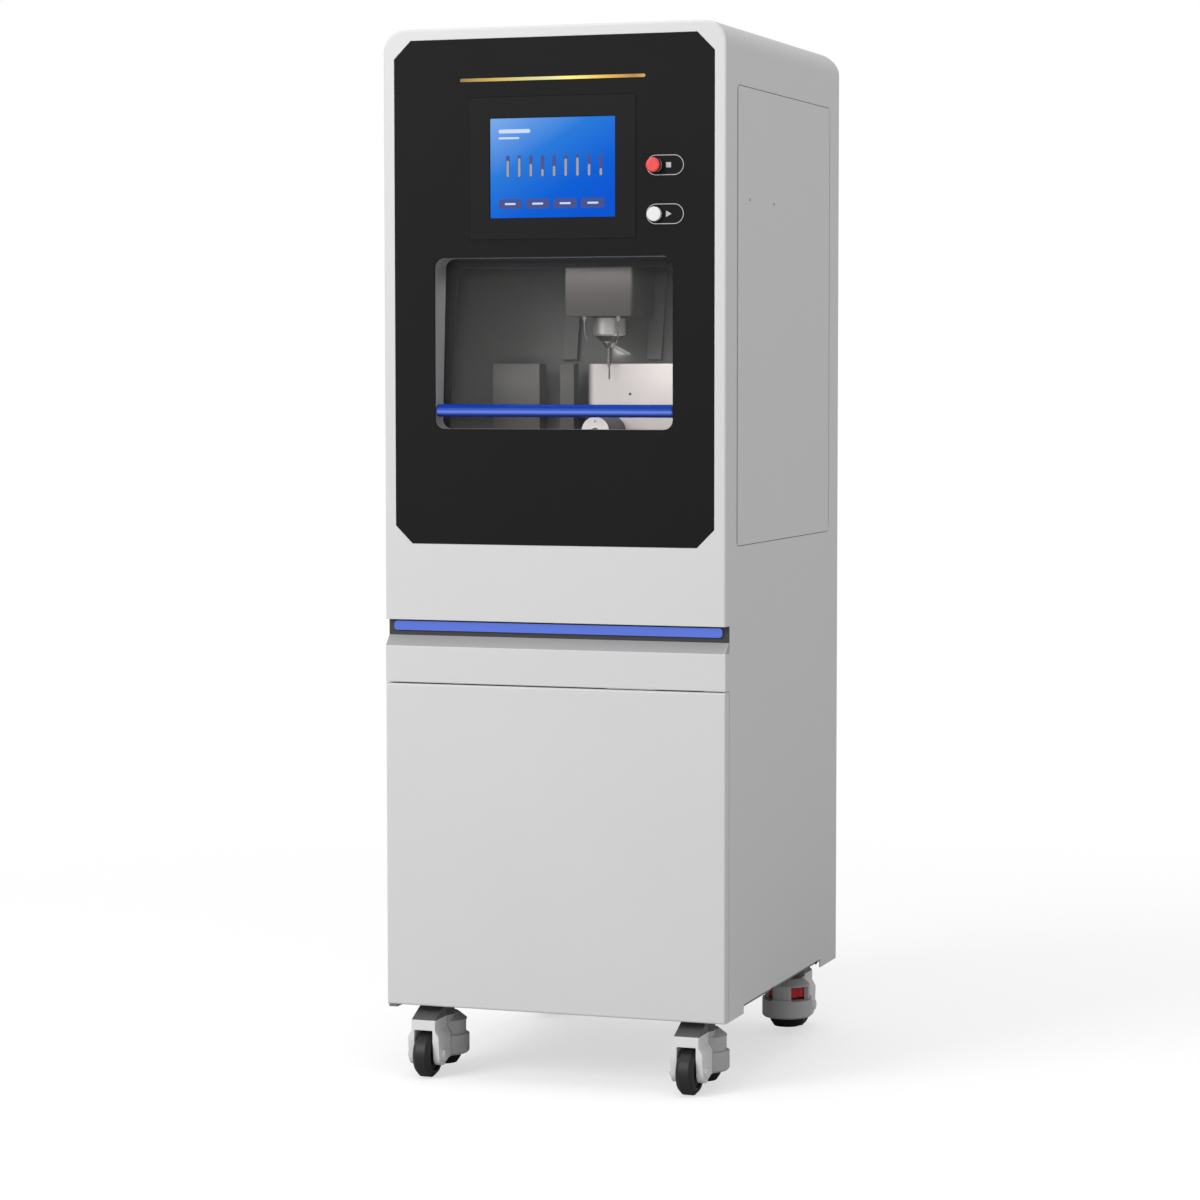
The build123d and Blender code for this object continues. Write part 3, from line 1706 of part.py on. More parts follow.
def caster_housing(ground, side):
    """Cast housing: hood and flared fork arms round the wheel, boss over the pad, and a neck."""
    across = Plane(origin=ground.origin, x_dir=ground.x_dir, z_dir=-ground.y_dir)
    pad_section = Plane(
        origin=ground.from_local_coords((0, pad_offset, 0)),
        x_dir=ground.y_dir,
        z_dir=ground.x_dir,
    )
    with BuildPart() as housing:
        # Fork arms: a side outline that ends round the axle, cut to the flared front outline
        with BuildSketch(side.offset(-arm_half_width)):
            with BuildLine():
                Polyline(
                    (fork_front, fork_top),
                    (fork_front, bridge_bottom - arm_end_radius),
                    (-wheel_trail - arm_end_radius, wheel_radius),
                    (-wheel_trail, wheel_radius - arm_end_radius),
                    (-wheel_trail / 2, boss_bottom),
                    (pad_offset, boss_bottom),
                    (pad_offset, fork_top),
                    close=True,
                )
            make_face()
            with Locations((-wheel_trail, wheel_radius)):
                Circle(arm_end_radius)
        extrude(amount=2 * arm_half_width)
        with BuildSketch(across.offset(-pad_offset)):
            with BuildLine():
                Polyline(
                    (-bridge_half_width, fork_top),
                    (-bridge_half_width, bridge_bottom),
                    (-arm_half_width, bridge_bottom - arm_flare),
                    (-arm_half_width, 0),
                    (arm_half_width, 0),
                    (arm_half_width, bridge_bottom - arm_flare),
                    (bridge_half_width, bridge_bottom),
                    (bridge_half_width, fork_top),
                    close=True,
                )
            make_face()
        extrude(amount=pad_offset - fork_front, mode=Mode.INTERSECT)
        # Hood that slopes down from the neck to the bridge over the wheel
        with BuildSketch(side.offset(-bridge_half_width)):
            with BuildLine():
                Polyline(
                    (fork_front, bridge_bottom),
                    (fork_front, fork_top),
                    (-hood_slope_start, neck_top),
                    (0, neck_top),
                    (0, bridge_bottom),
                    close=True,
                )
            make_face()
        extrude(amount=2 * bridge_half_width)
        # Boss over the levelling pad, and the body round the thumbwheel
        with BuildSketch(pad_section):
            with BuildLine():
                Polyline(
                    (0, boss_bottom),
                    (boss_radius - boss_edge, boss_bottom),
                    (boss_radius, boss_bottom + boss_edge),
                    (boss_radius, boss_top),
                    (body_radius, boss_top),
                    (body_radius, fork_top - shoulder_height),
                    (neck_radius, fork_top),
                    (0, fork_top),
                    close=True,
                )
            make_face()
        revolve(axis=Axis(pad_section.origin, (0, 0, 1)))
        # Neck under the bearing race
        with BuildSketch(ground.offset(thumb_window_top)):
            Circle(neck_radius)
        extrude(amount=neck_top - thumb_window_top)
        # Slot for the wheel
        with BuildSketch(side.offset(-slot_half_width)):
            with Locations((-wheel_trail, wheel_radius)):
                Circle(slot_radius)
            with Locations((-wheel_trail - slot_radius, (bridge_bottom - slot_radius) / 2)):
                Rectangle(2 * slot_radius, bridge_bottom + slot_radius)
            with Locations((-wheel_trail, 0)):
                Rectangle(2 * slot_radius, 2 * wheel_radius)
        extrude(amount=2 * slot_half_width, mode=Mode.SUBTRACT)
        # Chamber of the thumbwheel, open through a window on each side of a middle post
        window_across = thumb_post_half_width + thumb_window_reach / 2
        window_middle_depth = pad_offset + thumb_window_setback + thumb_window_reach / 2
        with BuildSketch(ground.offset(thumb_window_bottom)):
            with Locations((0, pad_offset)):
                Circle(thumb_radius + thumb_chamber_gap)
            with Locations((-window_across, window_middle_depth), (window_across, window_middle_depth)):
                Rectangle(thumb_window_reach, thumb_window_reach)
        extrude(amount=thumb_window_height, mode=Mode.SUBTRACT)
        # Bores of the swivel pin and of the pad's stem
        with BuildSketch(ground.offset(kingpin_bottom - seat_gap)):
            Circle(kingpin_radius + running_clearance)
        extrude(amount=race_bottom - kingpin_bottom + seat_gap, mode=Mode.SUBTRACT)
        with BuildSketch(ground.offset(boss_bottom)):
            with Locations((0, pad_offset)):
                Circle(stem_radius + running_clearance)
        extrude(amount=stem_top - boss_bottom + seat_gap, mode=Mode.SUBTRACT)
        # Axle bolt through both fork arms, with its head and nut
        with BuildSketch(side.offset(-arm_half_width)):
            with Locations((-wheel_trail, wheel_radius)):
                Circle(axle_radius)
        extrude(amount=2 * arm_half_width)
        for hand in (-1, 1):
            with BuildSketch(side.offset(hand * arm_half_width)):
                with Locations((-wheel_trail, wheel_radius)):
                    RegularPolygon(axle_head_radius, 6)
            extrude(amount=hand * axle_head_length)
    return housing.part


def caster_wheel(side):
    """Nylon wheel with chamfered tread and dished faces."""
    with BuildPart() as wheel:
        with BuildSketch(side.offset(-wheel_width / 2)):
            with Locations((-wheel_trail, wheel_radius)):
                Circle(wheel_radius)
        extrude(amount=wheel_width)
        chamfer(wheel.edges().filter_by(GeomType.CIRCLE), wheel_chamfer)
        for hand in (-1, 1):
            with BuildSketch(side.offset(hand * wheel_width / 2)):
                with Locations((-wheel_trail, wheel_radius)):
                    Circle(wheel_radius - wheel_chamfer - wheel_rim)
                    Circle(axle_radius + wheel_hub, mode=Mode.SUBTRACT)
            extrude(amount=-hand * wheel_dish, mode=Mode.SUBTRACT)
        with BuildSketch(side.offset(-wheel_width / 2)):
            with Locations((-wheel_trail, wheel_radius)):
                Circle(axle_radius + running_clearance)
        extrude(amount=wheel_width, mode=Mode.SUBTRACT)
    return wheel.part


def caster_thumbwheel(ground):
    """Notched thumbwheel that turns on the pad's stem."""
    hub_bottom = thumb_window_bottom + seat_gap
    hub_top = thumb_window_top - seat_gap
    rim_bottom = hub_top - thumb_rim_drop - thumb_height
    with BuildPart() as thumbwheel:
        with BuildSketch(ground.offset(rim_bottom)):
            with Locations((0, pad_offset)):
                Circle(thumb_radius)
                with PolarLocations(thumb_radius + thumb_notch_offset, thumb_notches):
                    Circle(thumb_notch_radius, mode=Mode.SUBTRACT)
        extrude(amount=thumb_height)
        with BuildSketch(ground.offset(hub_bottom)):
            with Locations((0, pad_offset)):
                Circle(thumb_hub_radius)
        extrude(amount=hub_top - hub_bottom)
        with BuildSketch(ground.offset(hub_bottom)):
            with Locations((0, pad_offset)):
                Circle(stem_radius + running_clearance)
        extrude(amount=hub_top - hub_bottom, mode=Mode.SUBTRACT)
    return thumbwheel.part


def caster_pad(ground):
    """Levelling pad, wider at its top, with the stem that it hangs on."""
    with BuildPart() as pad:
        with BuildSketch(ground.offset(pad_bottom)):
            with Locations((0, pad_offset)):
                Circle(pad_bottom_radius)
        with BuildSketch(ground.offset(pad_bottom + pad_taper)):
            with Locations((0, pad_offset)):
                Circle(pad_radius)
        loft()
        with BuildSketch(ground.offset(pad_bottom + pad_taper)):
            with Locations((0, pad_offset)):
                Circle(pad_radius)
        extrude(amount=boss_bottom - seat_gap - pad_bottom - pad_taper)
        with BuildSketch(ground.offset(boss_bottom - seat_gap)):
            with Locations((0, pad_offset)):
                Circle(stem_radius)
        extrude(amount=stem_top - boss_bottom + seat_gap)
    return pad.part


for place, (x, y, facing) in caster_places.items():
    ground = Plane(origin=(x, y, 0), x_dir=(facing, 0, 0), z_dir=(0, 0, 1))
    side = Plane(origin=(x, y, 0), x_dir=(0, facing, 0), z_dir=(facing, 0, 0))
    prefix = "caster_" + place
    finish(caster_housing(ground, side), prefix + "_housing")
    finish(caster_wheel(side), prefix + "_wheel")
    finish(caster_thumbwheel(ground), prefix + "_thumbwheel")
    finish(caster_pad(ground), prefix + "_pad")
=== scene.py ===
import json
import math

import bmesh
import bpy
from mathutils import Matrix, Vector


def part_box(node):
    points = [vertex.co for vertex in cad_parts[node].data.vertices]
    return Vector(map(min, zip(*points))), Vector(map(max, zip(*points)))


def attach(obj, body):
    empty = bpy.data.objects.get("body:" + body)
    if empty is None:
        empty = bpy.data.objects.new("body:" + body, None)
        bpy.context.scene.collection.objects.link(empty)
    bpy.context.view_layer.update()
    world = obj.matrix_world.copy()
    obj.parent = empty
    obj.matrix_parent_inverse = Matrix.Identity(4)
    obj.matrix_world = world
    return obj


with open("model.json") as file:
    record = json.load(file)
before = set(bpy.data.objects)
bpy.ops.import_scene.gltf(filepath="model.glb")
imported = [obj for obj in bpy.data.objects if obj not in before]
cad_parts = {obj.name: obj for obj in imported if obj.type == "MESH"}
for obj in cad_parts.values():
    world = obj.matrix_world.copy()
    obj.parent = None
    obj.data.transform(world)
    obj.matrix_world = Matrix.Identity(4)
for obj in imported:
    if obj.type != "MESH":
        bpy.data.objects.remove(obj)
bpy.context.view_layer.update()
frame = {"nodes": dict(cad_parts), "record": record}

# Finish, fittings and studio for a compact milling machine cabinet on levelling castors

nodes = frame["nodes"]
MM = 0.001

# Places taken from the frame, and sizes that the solids have, in metres
shell_low, shell_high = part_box("cabinet_shell")
FRONT = shell_low[1]
REAR = shell_high[1]
SIDE = shell_high[0]
SKIRT = shell_low[2]
screen_low, screen_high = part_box("touch_screen")
handle_low, handle_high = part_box("sash_handle")
panel_low, panel_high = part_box("service_panel_right")
header_low, header_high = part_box("header_panel")
housing_low, housing_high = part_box("rotary_housing")
chuck_low, chuck_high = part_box("rotary_chuck")
PANEL_LIP = 12 * MM
PANEL_CORNER = 12 * MM
PANEL_SEAM = 3.5 * MM
LEDGE_FRONT = header_high[2] - 42 * MM
LEDGE_BACK = LEDGE_FRONT + 16 * MM
FORK_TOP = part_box("caster_front_right_housing")[1][2] - 19.3 * MM
FORK_DEPTH = 50 * MM
NOSE_LENGTH = 31 * MM

# Places in millimetres: X, depth behind the front, height over the skirt
SPINDLE_X = 40
SPINDLE_DEPTH = 154
HEAD_BOTTOM = 1087
CASTER_X = 218
CASTERS = {
    "front_left": (-1, 66),
    "front_right": (1, 66),
    "rear_left": (-1, 580),
    "rear_right": (1, 580),
}
SIGN_X = 188
STOP_HEIGHT = 1314
START_HEIGHT = 1240
LOCKS = ((124, 1265), (257, 1264))
SKIRT_PLUGS = ((263, 14), (527, 12))
INLET = (180, 634, 120)
WORK_PLUG = (71, 165, 965)

# Sizes of the fittings, in metres
PICTURE_WIDTH = 204 * MM
PICTURE_HEIGHT = 153 * MM
SIGN_LIFT = 0.25 * MM
SCREW_MARGIN = 24 * MM
VENT_MIDDLE = 138 * MM
VENT_SPREAD = 90 * MM
THREAD_MARGIN = 22 * MM
THREAD_RIDGE = 0.75 * MM

SURFACE_OUTPUTS = [
    ("Color", "NodeSocketColor"),
    ("Roughness", "NodeSocketFloat"),
    ("Normal", "NodeSocketVector"),
]


def at(x, depth, height):
    """A point from its X, its depth behind the front and its height over the skirt, in millimetres."""
    return Vector((x * MM, FRONT + depth * MM, SKIRT + height * MM))


# Shader groups


def shader_group(name, inputs, outputs):
    """An empty shader node group with its inputs and outputs."""
    group = bpy.data.node_groups.new(name, "ShaderNodeTree")
    for label, kind, value in inputs:
        socket = group.interface.new_socket(label, in_out="INPUT", socket_type=kind)
        if value is not None:
            socket.default_value = value
    for label, kind in outputs:
        group.interface.new_socket(label, in_out="OUTPUT", socket_type=kind)
    group.nodes.new("NodeGroupInput").name = "in"
    group.nodes.new("NodeGroupOutput").name = "out"
    return group


def add(tree, kind, inputs=None, **settings):
    """Adds a node; each input is a value or a socket to link from."""
    node = tree.nodes.new(kind)
    for key, value in settings.items():
        setattr(node, key, value)
    for key, value in (inputs or {}).items():
        socket = node.inputs[key]
        if isinstance(value, bpy.types.NodeSocket):
            tree.links.new(value, socket)
        else:
            socket.default_value = value
    return node


def sum_of(tree, first, second, operation="ADD"):
    """The result of a Math node on two values or sockets."""
    node = add(tree, "ShaderNodeMath", {0: first, 1: second}, operation=operation)
    return node.outputs[0]


def object_place(tree):
    """Coordinates that stay with a piece when it moves."""
    return add(tree, "ShaderNodeTexCoord").outputs["Object"]


def place_along(tree, axis):
    """One axis of the object coordinates."""
    return add(tree, "ShaderNodeSeparateXYZ", {0: object_place(tree)}).outputs[axis]


def share_between(tree, value, low, high):
    """Where a value lies between two bounds, from 0 to 1."""
    return add(tree, "ShaderNodeMapRange", {"Value": value, 1: low, 2: high}).outputs[0]


def opaque(color):
    """A colour with full alpha."""
    return (color[0], color[1], color[2], 1.0)


def colour_ramp(tree, value, stops, interpolation="LINEAR"):
    """Colours that change with a value; each stop is a position and its colour."""
    ramp = add(tree, "ShaderNodeValToRGB", {0: value})
    ramp.color_ramp.interpolation = interpolation
    elements = ramp.color_ramp.elements
    first, last = elements
    first.position, first.color = stops[0][0], opaque(stops[0][1])
    last.position, last.color = stops[-1][0], opaque(stops[-1][1])
    for position, color in stops[1:-1]:
        elements.new(position).color = opaque(color)
    return ramp.outputs[0]


def end_surface(group, centred, tone, gloss_swing, height, depth, distance):
    """Ends a surface group: toned colour, gloss that drifts, rounded edges and fine relief."""
    given = group.nodes["in"].outputs
    bright = sum_of(group, sum_of(group, centred, tone, "MULTIPLY"), 1.0)
    color = add(
        group, "ShaderNodeVectorMath", {0: given["Color"], "Scale": bright}, operation="SCALE"
    ).outputs[0]
    gloss = sum_of(group, sum_of(group, centred, gloss_swing, "MULTIPLY"), given["Roughness"])
    rounded = add(group, "ShaderNodeBevel", {"Radius": given["Edge Radius"]}, samples=4).outputs[0]
    bump = add(
        group,
        "ShaderNodeBump",
        {"Strength": depth, "Distance": distance, "Height": height, "Normal": rounded},
    ).outputs[0]
    out = group.nodes["out"].inputs
    group.links.new(color, out["Color"])
    group.links.new(gloss, out["Roughness"])
    group.links.new(bump, out["Normal"])
    return group


def coated_surface_group():
    """Fine orange-peel grain, a slow drift in tone and gloss, and softly rounded edges."""
    group = shader_group(
        "coated_surface",
        [
            ("Color", "NodeSocketColor", (0.5, 0.5, 0.5, 1)),
            ("Roughness", "NodeSocketFloat", 0.5),
            ("Grain per Metre", "NodeSocketFloat", 900.0),
            ("Grain Depth", "NodeSocketFloat", 0.15),
            ("Tone Drift", "NodeSocketFloat", 0.03),
            ("Edge Radius", "NodeSocketFloat", 0.0006),
        ],
        SURFACE_OUTPUTS,
    )
    given = group.nodes["in"].outputs
    place = object_place(group)
    grain = add(
        group,
        "ShaderNodeTexNoise",
        {"Vector": place, "Scale": given["Grain per Metre"], "Detail": 2.0, "Roughness": 0.5},
    ).outputs["Fac"]
    drift = add(
        group, "ShaderNodeTexNoise", {"Vector": place, "Scale": 4.0, "Detail": 3.0, "Roughness": 0.55}
    ).outputs["Fac"]
    centred = sum_of(group, drift, 0.5, "SUBTRACT")
    return end_surface(
        group, centred, given["Tone Drift"], 0.12, grain, given["Grain Depth"], 0.2 * MM
    )


def machined_surface_group():
    """Fine tool marks stretched along one direction, with gloss that follows them."""
    group = shader_group(
        "machined_surface",
        [
            ("Color", "NodeSocketColor", (0.6, 0.6, 0.6, 1)),
            ("Roughness", "NodeSocketFloat", 0.3),
            ("Marks", "NodeSocketVector", (60.0, 60.0, 2500.0)),
            ("Mark Depth", "NodeSocketFloat", 0.1),
            ("Edge Radius", "NodeSocketFloat", 0.0004),
        ],
        SURFACE_OUTPUTS,
    )
    given = group.nodes["in"].outputs
    stretched = add(
        group,
        "ShaderNodeVectorMath",
        {0: object_place(group), 1: given["Marks"]},
        operation="MULTIPLY",
    ).outputs[0]
    marks = add(
        group, "ShaderNodeTexNoise", {"Vector": stretched, "Scale": 1.0, "Detail": 2.0}
    ).outputs["Fac"]
    centred = sum_of(group, marks, 0.5, "SUBTRACT")
    return end_surface(group, centred, 0.18, 0.2, marks, given["Mark Depth"], 0.1 * MM)


COATED = coated_surface_group()
MACHINED = machined_surface_group()


def place_group(tree, group, **values):
    """Places a shader group in a material with its own values."""
    node = tree.nodes.new("ShaderNodeGroup")
    node.node_tree = group
    for key, value in values.items():
        node.inputs[key.replace("_", " ")].default_value = value
    return node


def new_material(name):
    """A material with only its Principled shader, and that shader."""
    material = bpy.data.materials.new(name)
    material.use_nodes = True
    return material, material.node_tree.nodes["Principled BSDF"]


def use_surface(tree, surface, shader, parts=("Color", "Roughness", "Normal")):
    """Links the outputs of a surface group to the shader."""
    for part in parts:
        target = "Base Color" if part == "Color" else part
        tree.links.new(surface.outputs[part], shader.inputs[target])


def coated(name, color, rough, grain=900.0, depth=0.15, drift=0.03, edge=0.0006, metal=0.0,
           specular=0.5):
    """Paint, powder coat, moulded plastic or rubber."""
    material, shader = new_material(name)
    tree = material.node_tree
    surface = place_group(
        tree,
        COATED,
        Color=opaque(color),
        Roughness=rough,
        Grain_per_Metre=grain,
        Grain_Depth=depth,
        Tone_Drift=drift,
        Edge_Radius=edge,
    )
    use_surface(tree, surface, shader)
    shader.inputs["Metallic"].default_value = metal
    shader.inputs["Specular IOR Level"].default_value = specular
    return material


def machined(name, color, rough, marks=(60.0, 60.0, 2500.0), depth=0.1):
    """Bare metal with tool or brush marks."""
    material, shader = new_material(name)
    tree = material.node_tree
    surface = place_group(
        tree, MACHINED, Color=opaque(color), Roughness=rough, Marks=marks, Mark_Depth=depth
    )
    use_surface(tree, surface, shader)
    shader.inputs["Metallic"].default_value = 1.0
    return material


def glow_by_place(material, colour_socket, strength):
    """Feeds a colour to the shader's emission."""
    shader = material.node_tree.nodes["Principled BSDF"]
    material.node_tree.links.new(colour_socket, shader.inputs["Emission Color"])
    shader.inputs["Emission Strength"].default_value = strength


def lit_display():
    """Glossy display whose blue light carries a painted reflection, palest at its upper left and deep
    blue at its lower right.
    """
    material, shader = new_material("lit_display")
    tree = material.node_tree
    width = screen_high[0] - screen_low[0]
    height = screen_high[2] - screen_low[2]
    right = share_between(tree, place_along(tree, "X"), screen_low[0] + 0.1 * width, screen_high[0])
    down = share_between(tree, place_along(tree, "Z"), screen_high[2] - 0.1 * height, screen_low[2])
    slope = sum_of(tree, sum_of(tree, right, 0.45, "MULTIPLY"), sum_of(tree, down, 0.6, "MULTIPLY"))
    # Screen light with a painted reflection veil, pale at the upper left
    colours = (
        (0.0, (0.20, 0.41, 0.83)),
        (0.10, (0.14, 0.34, 0.80)),
        (0.32, (0.022, 0.20, 0.71)),
        (0.62, (0.002, 0.115, 0.67)),
        (0.85, (0.001, 0.09, 0.645)),
    )
    glow_by_place(material, colour_ramp(tree, slope, colours), 0.93)
    shader.inputs["Base Color"].default_value = (0.004, 0.012, 0.05, 1)
    shader.inputs["Roughness"].default_value = 0.12
    shader.inputs["Specular IOR Level"].default_value = 0.008
    return material


def plain_glow(name, color, strength, spill=1.0):
    """A surface that looks evenly lit with a faint drift; spill is its light on other things."""
    material, shader = new_material(name)
    tree = material.node_tree
    drift = add(
        tree, "ShaderNodeTexNoise", {"Vector": object_place(tree), "Scale": 12.0, "Detail": 1.0}
    ).outputs["Fac"]
    colours = ((0.0, [c * 0.92 for c in color]), (1.0, color))
    glow_by_place(material, colour_ramp(tree, drift, colours), strength)
    seen = add(tree, "ShaderNodeLightPath").outputs["Is Camera Ray"]
    power = add(
        tree, "ShaderNodeMapRange", {"Value": seen, 3: strength * spill, 4: strength}
    ).outputs[0]
    tree.links.new(power, shader.inputs["Emission Strength"])
    shader.inputs["Base Color"].default_value = opaque([c * 0.15 for c in color])
    shader.inputs["Roughness"].default_value = 0.4
    return material


def clear_pane():
    """Clear polycarbonate sheet with a faint smoky body."""
    material, shader = new_material("clear_pane")
    tree = material.node_tree
    haze = add(
        tree, "ShaderNodeTexNoise", {"Vector": object_place(tree), "Scale": 9.0, "Detail": 2.0}
    ).outputs["Fac"]
    cloud = add(tree, "ShaderNodeMapRange", {"Value": haze, 3: 0.13, 4: 0.16}).outputs[0]
    tree.links.new(cloud, shader.inputs["Alpha"])
    shader.inputs["Base Color"].default_value = (0.16, 0.16, 0.158, 1)
    shader.inputs["Roughness"].default_value = 0.04
    shader.inputs["Specular IOR Level"].default_value = 0.03
    return material


def anodised_gold():
    """Gold line with a painted highlight, pale in its middle and bronze towards its ends, and a faint
    painted glow.
    """
    material, shader = new_material("anodised_gold")
    tree = material.node_tree
    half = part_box("accent_trim")[1][0]
    colours = (
        # Painted highlight along the line: bronze ends, pale bright middle
        (0.0, (0.16, 0.09, 0.02)),
        (0.05, (0.28, 0.17, 0.02)),
        (0.20, (0.46, 0.32, 0.04)),
        (0.46, (0.58, 0.56, 0.27)),
        (0.60, (0.90, 0.74, 0.16)),
        (0.80, (0.66, 0.38, 0.04)),
        (0.94, (0.36, 0.18, 0.03)),
        (1.0, (0.50, 0.32, 0.05)),
    )
    gold = colour_ramp(tree, share_between(tree, place_along(tree, "X"), -half, half), colours)
    tree.links.new(gold, shader.inputs["Base Color"])
    # Painted glow: the line shines faintly in its own colour, though it is no lamp
    glow_by_place(material, gold, 0.2)
    shader.inputs["Metallic"].default_value = 0.1
    shader.inputs["Roughness"].default_value = 0.35
    return material


def bar_painted_reflection():
    """Blue anodised bar with a painted reflection, deep above its middle and paler below with a
    painted highlight line, and fine lengthwise polish.
    """
    material, shader = new_material("blue_anodised_bar")
    tree = material.node_tree
    surface = place_group(
        tree, MACHINED, Roughness=0.24, Marks=(30.0, 900.0, 900.0), Mark_Depth=0.05, Edge_Radius=0.001
    )
    # Painted reflection from bottom to top: dark lower edge, bright painted highlight line, deep blue
    # above
    colours = (
        (0.0, (0.004, 0.016, 0.16)),
        (0.18, (0.02, 0.06, 0.40)),
        (0.42, (0.20, 0.32, 1.0)),
        (0.58, (0.006, 0.060, 0.48)),
        (0.76, (0.001, 0.052, 0.42)),
        (1.0, (0.006, 0.040, 0.34)),
    )
    rise = share_between(tree, place_along(tree, "Z"), handle_low[2], handle_high[2])
    tree.links.new(colour_ramp(tree, rise, colours), shader.inputs["Base Color"])
    use_surface(tree, surface, shader, ("Roughness", "Normal"))
    shader.inputs["Specular IOR Level"].default_value = 0.12
    return material


def capped_button(name, color, cap_depth):
    """Coloured cap on a dark body: the colour stops a little behind the front of the head."""
    material, shader = new_material(name)
    tree = material.node_tree
    surface = place_group(
        tree, COATED, Color=opaque(color), Roughness=0.3, Grain_Depth=0.04, Edge_Radius=0.0004
    )
    behind = sum_of(tree, place_along(tree, "Y"), cap_depth, "GREATER_THAN")
    mixed = add(
        tree,
        "ShaderNodeMix",
        {0: behind, 6: surface.outputs["Color"], 7: (0.012, 0.012, 0.013, 1)},
        data_type="RGBA",
    )
    tree.links.new(mixed.outputs[2], shader.inputs["Base Color"])
    use_surface(tree, surface, shader, ("Roughness", "Normal"))
    return material


def multiply_base(material, tones):
    """Multiplies the base colour of a material by a colour socket."""
    tree = material.node_tree
    shader = tree.nodes["Principled BSDF"]
    base = shader.inputs["Base Color"].links[0].from_socket
    mixed = add(tree, "ShaderNodeVectorMath", {0: base, 1: tones}, operation="MULTIPLY").outputs[0]
    tree.links.new(mixed, shader.inputs["Base Color"])
    return material


def tone_ramp(tree, value, low, high, stops, interpolation):
    """Tones that change with a value; each stop is a place between low and high and its tone."""
    share = share_between(tree, value, low, high)
    spots = [((place - low) / (high - low), (tone, tone, tone)) for place, tone in stops]
    return colour_ramp(tree, share, spots, interpolation)


def toned_along(material, axis, low, high, stops, interpolation="CONSTANT"):
    """Tones a material by its place along one axis."""
    tree = material.node_tree
    along = place_along(tree, axis)
    return multiply_base(material, tone_ramp(tree, along, low, high, stops, interpolation))


def toned_round(material, centre, reach, stops):
    """Tones a material by its distance from an axis that runs along Y."""
    tree = material.node_tree
    flat = add(
        tree, "ShaderNodeVectorMath", {0: object_place(tree), 1: (1, 0, 1)}, operation="MULTIPLY"
    ).outputs[0]
    axis = (centre[0], 0, centre[2])
    distance = add(
        tree, "ShaderNodeVectorMath", {0: flat, 1: axis}, operation="DISTANCE"
    ).outputs["Value"]
    return multiply_base(material, tone_ramp(tree, distance, 0, reach, stops, "CONSTANT"))


def cabinet_white(name):
    """White powder coat of the sheet metal."""
    return coated(name, (0.80, 0.80, 0.805), 0.46, grain=1100, depth=0.10)


def header_paint():
    """White front, a slanted ledge greyed as painted shade over it, and the groove behind the light
    strip darkened as painted shadow.
    """
    # Painted shade on the ledge and painted shadow in the groove, by height
    stops = ((header_low[2], 1.0), (LEDGE_FRONT, 0.58), (LEDGE_BACK, 0.06))
    return toned_along(cabinet_white("header_paint"), "Z", header_low[2], header_high[2], stops)


def service_panel_paint():
    """White panel with painted shade along its upright seams."""
    # Painted shade: the panel is darker near its front and rear seams
    front = panel_low[1] + PANEL_LIP + PANEL_SEAM
    rear = panel_high[1] - PANEL_LIP - PANEL_SEAM
    stops = ((panel_low[1], 0.4), (front, 1.0), (rear, 0.4))
    return toned_along(
        cabinet_white("service_panel_paint"), "Y", panel_low[1], panel_high[1], stops
    )


def spindle_finish():
    """Turned steel nose; below the end of the nose the steel is darkened to a tenth."""
    low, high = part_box("spindle_body")
    nose_end = at(0, 0, HEAD_BOTTOM).z - NOSE_LENGTH
    steel = coated("turned_steel", (0.88, 0.86, 0.84), 0.24, grain=1500, depth=0.03, metal=0.6)
    return toned_along(steel, "Z", low[2], high[2], ((low[2], 0.1), (nose_end, 1.0)))


def housing_painted_shade():
    """Cream paint of the work unit, with painted shade towards its left end."""
    left = housing_low[0]
    # Painted shade over the last 13 mm towards the left end
    stops = ((left, 0.12), (left + 3 * MM, 0.3), (left + 13 * MM, 1.0))
    cream = coated("work_unit_cream", (0.84, 0.775, 0.75), 0.45, grain=1000, depth=0.05)
    return toned_along(cream, "X", left, housing_high[0], stops, "LINEAR")


def chuck_finish():
    """Pale clamping face on the dark barrel of the rotary chuck."""
    centre = [(a + b) / 2 for a, b in zip(chuck_low, chuck_high)]
    reach = (chuck_high[0] - chuck_low[0]) / 2
    stops = ((0, 1.0), (0.97 * reach, 0.05))
    pale = coated("chuck_face", (0.78, 0.73, 0.71), 0.45, grain=1000, depth=0.05)
    return toned_round(pale, centre, reach, stops)


def caster_casting_painted_shade(place):
    """Pale cast fork and a pad boss greyed by painted shade, under a neck darkened as painted shadow,
    for one castor.
    """
    cast = coated(
        "cast_aluminium_" + place,
        (0.93, 0.93, 0.925),
        0.45,
        grain=500,
        depth=0.25,
        edge=0.0012,
        drift=0.08,
    )
    low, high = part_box("caster_" + place + "_housing")
    # Painted shadow over the neck above the top of the fork
    toned_along(cast, "Z", low[2], high[2], ((low[2], 1.0), (FORK_TOP, 0.16)))
    # Painted shade: the pad boss behind the fork is greyer than the fork
    stops = ((low[1], 1.0), (low[1] + FORK_DEPTH, 0.62))
    if place.startswith("rear"):
        stops = ((low[1], 0.62), (high[1] - FORK_DEPTH, 1.0))
    return toned_along(cast, "Y", low[1], high[1], stops)


WHITE_PAINT = cabinet_white("white_powder_coat")
HEADER_PAINTED_SHADE = header_paint()
PANEL_PAINTED_SEAM_SHADE = service_panel_paint()
BLACK_PANEL = coated("matt_black_panel", (0.008, 0.008, 0.008), 0.62, grain=1600, depth=0.06,
                     specular=0.17)
BLACK_BEZEL = coated("black_bezel", (0.0075, 0.0075, 0.0075), 0.55, grain=1800, depth=0.05,
                     specular=0.17, edge=0.0008)
